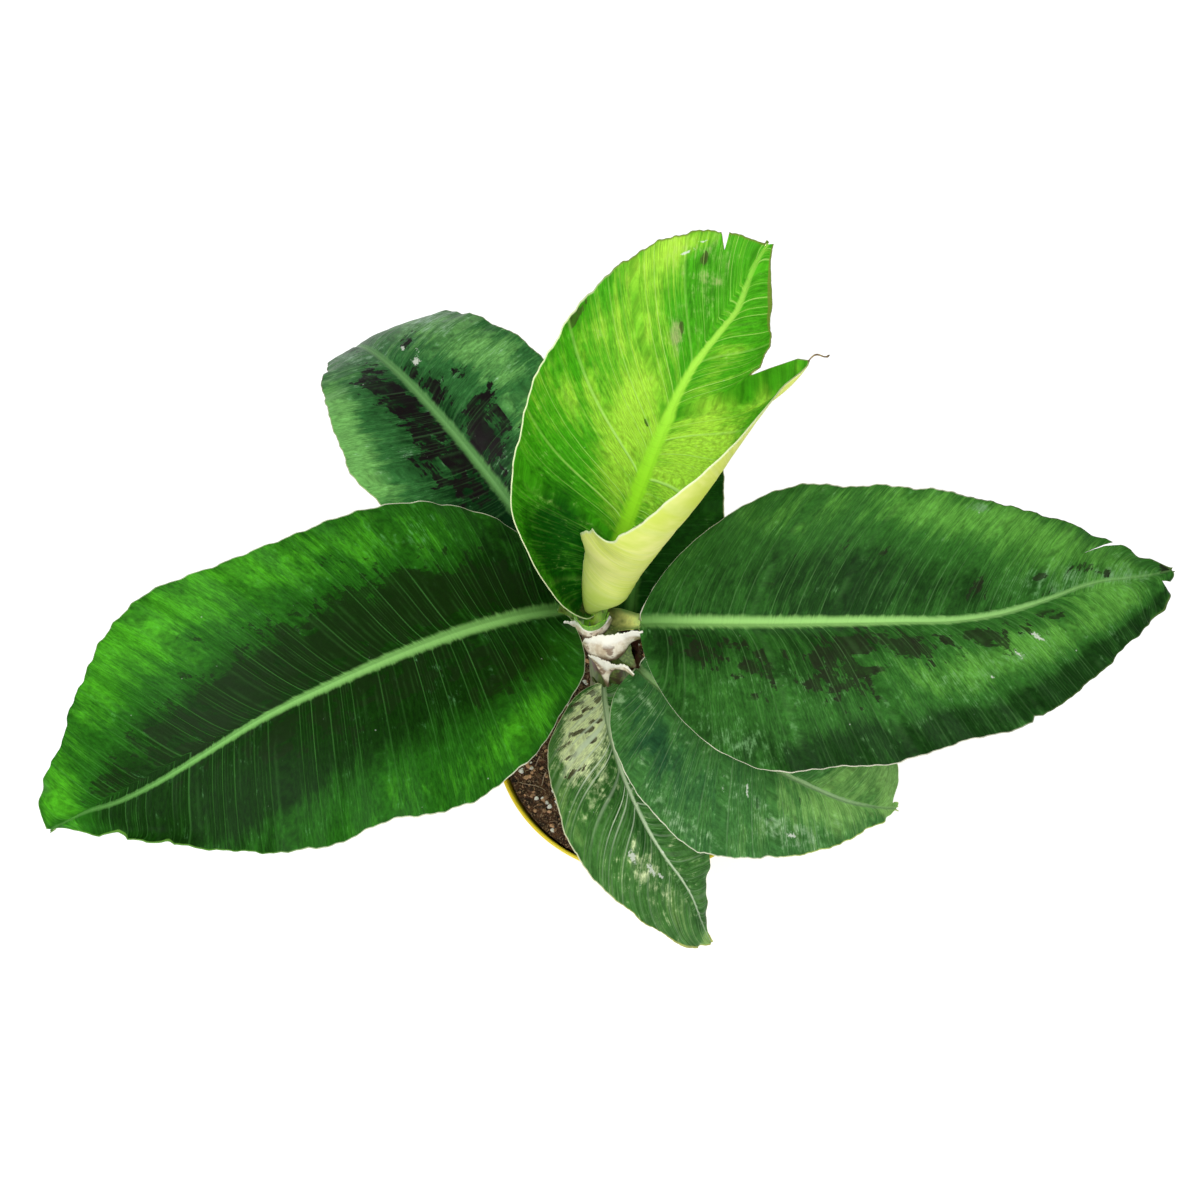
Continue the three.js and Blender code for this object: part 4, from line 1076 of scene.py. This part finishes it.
def stemFinish():
    made = newFinish("wrapped_sheaths")
    tree = made[1]
    place = spaceOf(tree)
    fibre = drawnOut(tree, place, (700, 700, 45), 4)
    cloud = noiseAt(tree, place, 60, 4)
    green = shade(tree, step(tree, fibre, 0.3, 0.75), (0.06, 0.1, 0.015), (0.2, 0.26, 0.06))
    brown = shade(tree, step(tree, fibre, 0.3, 0.7), (0.035, 0.016, 0.01), (0.16, 0.1, 0.045))
    low = plus(tree, axesOf(tree, place)[2], around(tree, cloud, 0.12))
    colour = shade(tree, step(tree, low, 0.17, 0.24), brown, green)
    maroon = step(tree, noiseAt(tree, place, 85, 4), 0.54, 0.62)
    colour = shade(tree, times(tree, maroon, 0.8), colour, (0.05, 0.014, 0.014))
    rough = calc(tree, "MULTIPLY_ADD", fibre, 0.3, 0.42)
    return finished(made, colour, rough, bumpOf(tree, plus(tree, fibre, cloud), 0.6, 0.001))


def buildStem():
    def shape(u, w):
        z = mix(stem["foot"] + 0.3, stem["crown"], np.clip(w * 1.06, 0, 1))
        angle = 2 * np.pi * u
        cap = smooth(1 / 1.06, 1, w)
        radius = (stemRadius(z) - stem["core shrink"]) * (1 - 0.97 * cap)
        ridges = 0.5 * np.sin(3 * angle + z * 0.05) + 0.3 * np.sin(8 * angle - z * 0.03)
        radius = radius + ridges * (1 - cap)
        point = stemAxis(z + 1.5 * cap)
        return point + np.stack([np.cos(angle), np.sin(angle), 0 * angle], -1) * radius[:, None]
    piece = tube("wrapped_stem", 72, 110, shape)
    piece.data.materials.append(stemFinish())
    seat(piece, "pseudostem")
    print("stem wrapped")


buildStem()


# dry sheath collars

# each one is a torn sheet between its foot and its rim, from left to right round the front of the stem
collars = {
    "sheath_stub_upper": {
        "rim": [(-44, -2.7, 303), (-39.5, 1.3, 302), (-35, 3, 298), (-31, 3, 291), (-26, 3, 290),
            (-21.5, 6, 289), (-18.5, 10, 288)],
        "foot": [(-42.5, -1.9, 299), (-37, -1.2, 296), (-33, 0.5, 288), (-29, 1, 282), (-24, 2.5, 281),
            (-20, 5.5, 281), (-17, 10, 283)],
        "bulge": 0.3, "torn": 0.45,
    },
    "sheath_stub_middle": {
        "rim": [(-30, 1.5, 282), (-27, 1.5, 283), (-23, 1.5, 284), (-16.5, 1.5, 285), (-13, 1.5, 286),
            (-9, 2.5, 287), (-2, 1.5, 288)],
        "foot": [(-30.5, 2, 270), (-29, -0.5, 267), (-24, -2.5, 264), (-17.5, -3.5, 264),
            (-12, -1.5, 267), (-9, 2, 271), (-6.5, 2.5, 276)],
        "bulge": 1.6, "torn": 0.4,
    },
    "sheath_stub_lower": {
        "rim": [(-29, -1.5, 268), (-26, -2.5, 267), (-23, -3.5, 266), (-20, -4.5, 265),
            (-17.5, -5.5, 265), (-14.5, -6, 264.5), (-10.5, -6.5, 264), (-6, -10.5, 264)],
        "foot": [(-28, -2, 266), (-25, -3.5, 258), (-22, -6, 249), (-19, -8.5, 240), (-18.5, -6.5, 250),
            (-15.5, -6, 258), (-10.5, -7.5, 260), (-6.5, -11, 261)],
        "bulge": 0.3, "torn": 0.35,
    },
}

# the green mouth of the sheath that the new leaf grows out of, and a green scrap beside the collars
greenScraps = {
    "sheath_mouth": {
        "rim": [(-37, 8.5, 298), (-34.5, 4.5, 299), (-31.5, 1, 299), (-28, 0, 299), (-24, 1.5, 298),
            (-20.5, 4.5, 297), (-19, 8, 297)],
        "foot": [(-35, 9, 286), (-33, 6, 285), (-30, 4, 284), (-27, 3.5, 284), (-24, 4.5, 284),
            (-21.5, 6.5, 284), (-20, 9.5, 285)],
        "bulge": 0.4, "torn": 0.2,
    },
    "green_scrap": {
        "rim": [(-9, 4, 273), (-8.2, 2, 271), (-7.2, -0.5, 268), (-6, -3.5, 265), (-5, -6.5, 262)],
        "foot": [(-9.5, 3, 270), (-11, 0.5, 268), (-12, -1.5, 266), (-13.5, -3, 265), (-9, -6, 262)],
        "bulge": 0.5, "torn": 0.3,
    },
}


def collarFinish():
    # papery and pale at the rim, brown at the foot and the torn ends, with painted shadow darkening the foot
    # where the collar stands off the stem
    made = newFinish("dry_papery_sheath")
    tree = made[1]
    place = spaceOf(tree)
    fibre = drawnOut(tree, place, (220, 220, 120), 5, 0.6)
    cloud = noiseAt(tree, place, 150, 5, 0.6)
    upward, sideways = stamped(tree, "form")[:2]
    colour = shade(tree, step(tree, fibre, 0.35, 0.65), (0.6, 0.47, 0.32), (0.92, 0.85, 0.7))
    colour = shade(tree, step(tree, cloud, 0.54, 0.62, 0, 0.85), colour, (0.22, 0.12, 0.07))
    # the dark foot is partly real brown and partly painted shadow under the collar
    foot = plus(tree, upward, around(tree, fibre, 0.5))
    colour = shade(tree, step(tree, foot, 0.08, 0.36, 0.9, 0), colour, (0.12, 0.07, 0.03))
    ends = calc(tree, "ABSOLUTE", calc(tree, "SUBTRACT", sideways, 0.5))
    atEnds = step(tree, plus(tree, ends, times(tree, cloud, 0.2)), 0.4, 0.6, 0, 0.6)
    colour = shade(tree, atEnds, colour, (0.16, 0.2, 0.05))
    rim = plus(tree, upward, around(tree, cloud, 0.4))
    colour = shade(tree, step(tree, rim, 0.6, 0.85, 0, 0.95), colour, (1.0, 0.97, 0.87))
    rough = calc(tree, "MULTIPLY_ADD", fibre, 0.2, 0.65)
    return finished(made, colour, rough, bumpOf(tree, fibre, 0.4, 0.0004))


def buildCollar(name, size, finish, seed, node=None):
    piece = flatSheet(name + "_torn", 100, 24)
    flat = cornersOf(piece)
    u, w = (flat[:, 0] + 1) / 2, (flat[:, 1] + 1) / 2
    places = np.linspace(0, 1, len(size["rim"]))
    rim = np.stack([through(places, [p[k] for p in size["rim"]], u) for k in range(3)], -1)
    foot = np.stack([through(places, [p[k] for p in size["foot"]], u) for k in range(3)], -1)
    points = mix(foot, rim, w[:, None])
    outward = points - stemAxis(points[:, 2])
    outward[:, 2] = 0
    outward /= np.maximum(np.linalg.norm(outward, axis=1), 1e-6)[:, None]
    fold = 0.3 * np.sin(u * 11 + seed + 3 * w) + 0.12 * np.sin(u * 29 + 2 * seed - 5 * w)
    swell = size["bulge"] * np.sin(np.pi * w) + fold * w
    waves = np.sin(u * 19 + seed) + 0.6 * np.sin(u * 47 + 2 * seed) + 0.5 * np.sin(u * 101 + seed)
    torn = size["torn"] * waves
    points = points + outward * swell[:, None]
    points[:, 2] += torn * w ** 3 - 0.5 * torn * (1 - w) ** 3
    points[:, 1] += 0.5 * torn * w ** 3
    carry(piece, points)
    stamp(piece, "form", w, u, 0 * w)
    applyModifier(piece, "SOLIDIFY", thickness=0.6 * mm, offset=0)
    bpy.ops.object.shade_smooth()
    piece.data.materials.append(finish)
    seat(piece, node)


def buildCollars():
    dry = collarFinish()
    for seed, (name, size) in enumerate(collars.items()):
        buildCollar(name, size, dry, seed * 2.3, name)
    for name, like, seed in (("sheath_mouth", "leaf_new", 7), ("green_scrap", "leaf_back", 8)):
        buildCollar(name, greenScraps[name], ribFinish(name, leafFinishes[like]), seed)
    print("dry sheaths torn")


buildCollars()


# pot

pot = {"height": 150, "rim": 82.5, "foot": 50, "wall": 2.0, "floor": 4, "lip": 1.0}


def potFinish():
    made = newFinish("satin_yellow_plastic")
    tree = made[1]
    place = spaceOf(tree)
    cloud = noiseAt(tree, place, 14, 4)
    colour = shade(tree, step(tree, cloud, 0.35, 0.7), (1.0, 0.7, 0.012), (1.0, 0.8, 0.04))
    low = plus(tree, axesOf(tree, place)[2], around(tree, cloud, 0.05))
    colour = shade(tree, step(tree, low, 0.0, 0.03, 0.3, 0), colour, (0.5, 0.3, 0.03))
    dust = step(tree, noiseAt(tree, place, 260, 5), 0.62, 0.75, 0, 0.35)
    colour = shade(tree, dust, colour, (0.7, 0.5, 0.1))
    orangePeel = bumpOf(tree, noiseAt(tree, place, 1400, 2), 0.12, 0.0004)
    return finished(made, colour, calc(tree, "MULTIPLY_ADD", cloud, 0.15, 0.24), orangePeel)


def buildPot():
    # profile from the middle of the underside, up the outside, over the rim and down to the inside floor
    taper = (pot["rim"] - pot["foot"]) / pot["height"]
    foot, lip = pot["foot"], pot["lip"]

    def outside(z):
        return foot + taper * z
    profile = [(0, 2.5), (15, 2.5), (32, 2.5), (foot - 9, 2.3), (foot - 7, 1.5), (foot - 6, 0),
               (foot - 2, 0), (foot - 0.6, 0.7), (foot, 2.2)]
    profile += [(outside(z) - 0.6, z) for z in (10, 25, 45, 65, 85, 105, 122, 134, 136)]
    profile += [(outside(137) - 0.1, 137), (outside(138), 138), (outside(146), 146)]
    for k in range(9):  # a small rolled lip
        turn = math.pi * k / 8
        profile.append((pot["rim"] - lip + lip * math.cos(turn), pot["height"] - lip + lip * math.sin(turn)))
    profile += [(outside(z) - pot["wall"], z) for z in (146, 138, 120, 90, 60, 30, 8)]
    floor = pot["floor"]
    profile += [(outside(floor) - pot["wall"] - 3, floor), (30, floor), (15, floor), (0, floor)]
    bpy.ops.object.select_all(action="DESELECT")
    bpy.ops.mesh.primitive_circle_add(vertices=len(profile), radius=0.01)
    piece = bpy.context.object
    piece.name = piece.data.name = "yellow_pot"
    carry(piece, [(r, 0, z) for r, z in profile])
    sheet = bmesh.new()
    sheet.from_mesh(piece.data)
    ends = {0, len(profile) - 1}
    closing = [e for e in sheet.edges if {v.index for v in e.verts} == ends]
    bmesh.ops.delete(sheet, geom=closing, context="EDGES")
    sheet.to_mesh(piece.data)
    sheet.free()
    bpy.ops.object.mode_set(mode="EDIT")
    bpy.ops.mesh.select_all(action="SELECT")
    bpy.ops.mesh.spin(steps=144, angle=2 * math.pi, center=(0, 0, 0), axis=(0, 0, 1))
    bpy.ops.mesh.select_all(action="SELECT")
    bpy.ops.mesh.remove_doubles(threshold=1e-5)
    bpy.ops.mesh.normals_make_consistent(inside=False)
    bpy.ops.object.mode_set(mode="OBJECT")
    bpy.ops.object.shade_smooth_by_angle(angle=math.radians(40))
    piece.data.materials.append(potFinish())
    seat(piece, "pot")
    print("pot turned")


buildPot()


# potting mix

soil = {
    "top": 138, "bottom": 6, "radius": 78.8, "taper": 0.4, "round stem": 19,
    "bank": 8,  # how far the mix climbs towards the rim
    "crumbs": 1900, "perlite": 240, "fibres": 260,
}


def soilFinish():
    made = newFinish("damp_potting_mix")
    tree = made[1]
    place = spaceOf(tree)
    coarse = noiseAt(tree, place, 260, 6, 0.7)
    fine = noiseAt(tree, place, 900, 4, 0.7)
    colour = shade(tree, step(tree, coarse, 0.35, 0.65), (0.012, 0.005, 0.003), (0.2, 0.085, 0.04))
    colour = shade(tree, step(tree, fine, 0.54, 0.64, 0, 0.85), colour, (0.75, 0.5, 0.32))
    return finished(made, colour, 0.85, bumpOf(tree, plus(tree, coarse, fine), 1.0, 0.002))


def spreadFinish(name, colours, rough):
    # a finish for a mass of small things, whose colour each one carries itself
    made = newFinish(name)
    tree = made[1]
    speck = noiseAt(tree, spaceOf(tree), 1200, 3)
    colour = shade(tree, stamped(tree, "tint")[0], colours[0], colours[1])
    colour = shade(tree, step(tree, speck, 0.4, 0.8, 0, 0.5), colour, colours[2])
    return finished(made, colour, rough, bumpOf(tree, speck, 0.5, 0.0004))


def soilHeight(x, y):
    points = [(a, b, 0) for a, b in zip(x, y)]
    edge = np.hypot(x, y) / soil["radius"]
    rise = 2.2 * grain(points, 22, 1) + 1.5 * grain(points, 7, 2) + 0.8 * grain(points, 2.6, 3)
    mound = 2.5 * hump(np.hypot(x, y), 0, 30)
    bank = soil["bank"] * smooth(0.55, 0.97, edge)
    return soil["top"] + (rise + mound) * smooth(1.0, 0.93, edge) + bank - 0.5


def lump(name, radius, roughness, seed):
    bpy.ops.object.select_all(action="DESELECT")
    bpy.ops.mesh.primitive_ico_sphere_add(subdivisions=2, radius=1)
    piece = bpy.context.object
    piece.name = piece.data.name = name
    points = cornersOf(piece)
    points = points * (1 + roughness * grain(points, 0.8, seed))[:, None]
    carry(piece, points * radius)
    return piece


def scatter(name, makers, count, sizes, finish, seed, sink=0.25):
    # copies of a few given shapes strewn over the mix, joined as one piece
    rng = random.Random(seed)
    shapes = [make() for make in makers]
    meshes, faces, tints, offset = [], [], [], 0
    for _ in range(count):
        shape = rng.choice(shapes)
        points = cornersOf(shape) / mm
        turn = Vector((rng.uniform(-1, 1), rng.uniform(-1, 1), rng.uniform(-1, 1))).normalized()
        spin = np.array(Vector((0, 0, 1)).rotation_difference(turn).to_matrix())
        size = rng.uniform(*sizes) * np.array([1, rng.uniform(0.7, 1), rng.uniform(0.6, 0.9)])
        away, angle = (soil["radius"] - 2.5) * math.sqrt(rng.random()), rng.uniform(0, 2 * math.pi)
        x, y = away * math.cos(angle), away * math.sin(angle)
        if math.hypot(x, y) < soil["round stem"]:
            continue
        z = soilHeight(np.array([x]), np.array([y]))[0]
        placed = (points * size) @ spin.T
        placed = placed + np.array([x, y, z + sizes[0] * (0.5 - sink)])
        meshes.append(placed)
        faces += [[i + offset for i in p.vertices] for p in shape.data.polygons]
        tints += [rng.random() ** 2.5] * len(points)
        offset += len(points)
    for shape in shapes:
        bpy.data.objects.remove(shape)
    mesh = bpy.data.meshes.new(name)
    mesh.from_pydata((np.concatenate(meshes) * mm).tolist(), [], faces)
    piece = bpy.data.objects.new(name, mesh)
    bpy.context.scene.collection.objects.link(piece)
    stamp(piece, "tint", np.array(tints), 0, 0)
    mesh.materials.append(finish)
    for face in mesh.polygons:
        face.use_smooth = len(face.vertices) > 4
    seat(piece, None)
    return piece


def strand(name, length, thick, bendBy, seed):
    def shape(u, w):
        angle = 2 * np.pi * u
        radius = thick * (1 - 0.6 * w) * smooth(-0.02, 0.05, w)
        x = length * (w - 0.5)
        y = bendBy * np.sin(3 * w + seed) + radius * np.cos(angle)
        z = 0.6 * np.sin(5 * w + 2 * seed) + radius * np.sin(angle)
        return np.stack([x, y, z], -1)
    return tube(name, 5, 9, shape)


def buildSoil():
    piece = flatSheet("potting_mix", 150, 150)
    flat = cornersOf(piece)[:, :2]
    # the square grid is drawn out to a disc, and its outer rows turn down inside the pot
    squash = np.maximum(abs(flat[:, 0]), abs(flat[:, 1]))
    length = np.maximum(np.hypot(flat[:, 0], flat[:, 1]), 1e-9)
    disc = flat * (squash / length)[:, None]
    share = np.hypot(disc[:, 0], disc[:, 1])
    radius = np.minimum(share / 0.94, 1) * soil["radius"]
    direction = disc / np.maximum(share, 1e-9)[:, None]
    xy = direction * radius[:, None]
    z = soilHeight(xy[:, 0], xy[:, 1])
    down = np.clip((share - 0.94) / 0.06, 0, 1)
    inward = 1 - soil["taper"] * down
    carry(piece, np.stack([xy[:, 0] * inward, xy[:, 1] * inward, mix(z, soil["bottom"], down)], -1))
    bpy.ops.object.mode_set(mode="EDIT")
    bpy.ops.mesh.select_all(action="DESELECT")
    bpy.ops.mesh.select_non_manifold()
    bpy.ops.mesh.fill_holes(sides=0)
    bpy.ops.mesh.select_all(action="SELECT")
    bpy.ops.mesh.normals_make_consistent(inside=False)
    bpy.ops.object.mode_set(mode="OBJECT")
    bpy.ops.object.shade_smooth_by_angle(angle=math.radians(50))
    piece.data.materials.append(soilFinish())
    seat(piece, "soil")

    dark = spreadFinish("peat_crumbs", ((0.02, 0.009, 0.005), (0.85, 0.48, 0.28), (0.6, 0.36, 0.2)), 0.85)
    white = spreadFinish("perlite", ((1.0, 0.98, 0.94), (1.0, 1.0, 0.98), (0.85, 0.8, 0.74)), 0.8)
    tan = spreadFinish("bark_fibre", ((0.3, 0.18, 0.1), (0.75, 0.58, 0.42), (0.2, 0.1, 0.05)), 0.75)
    lumps = [lambda k=k: lump(f"crumb_{k}", 1, 0.6, k) for k in range(3)]
    scatter("peat_crumbs", lumps, soil["crumbs"], (0.45, 1.7), dark, 5)
    grains = [lambda k=k: lump(f"grain_{k}", 1, 0.45, 9 + k) for k in range(3)]
    scatter("perlite_grains", grains, soil["perlite"], (0.6, 1.6), white, 6, 0.0)
    strands = [lambda k=k: strand(f"strand_{k}", 10 + 4 * k, 0.4, 2.0 + k, k) for k in range(3)]
    scatter("bark_fibres", strands, soil["fibres"], (0.5, 1.1), tan, 7, 0)
    print("pot filled")


buildSoil()
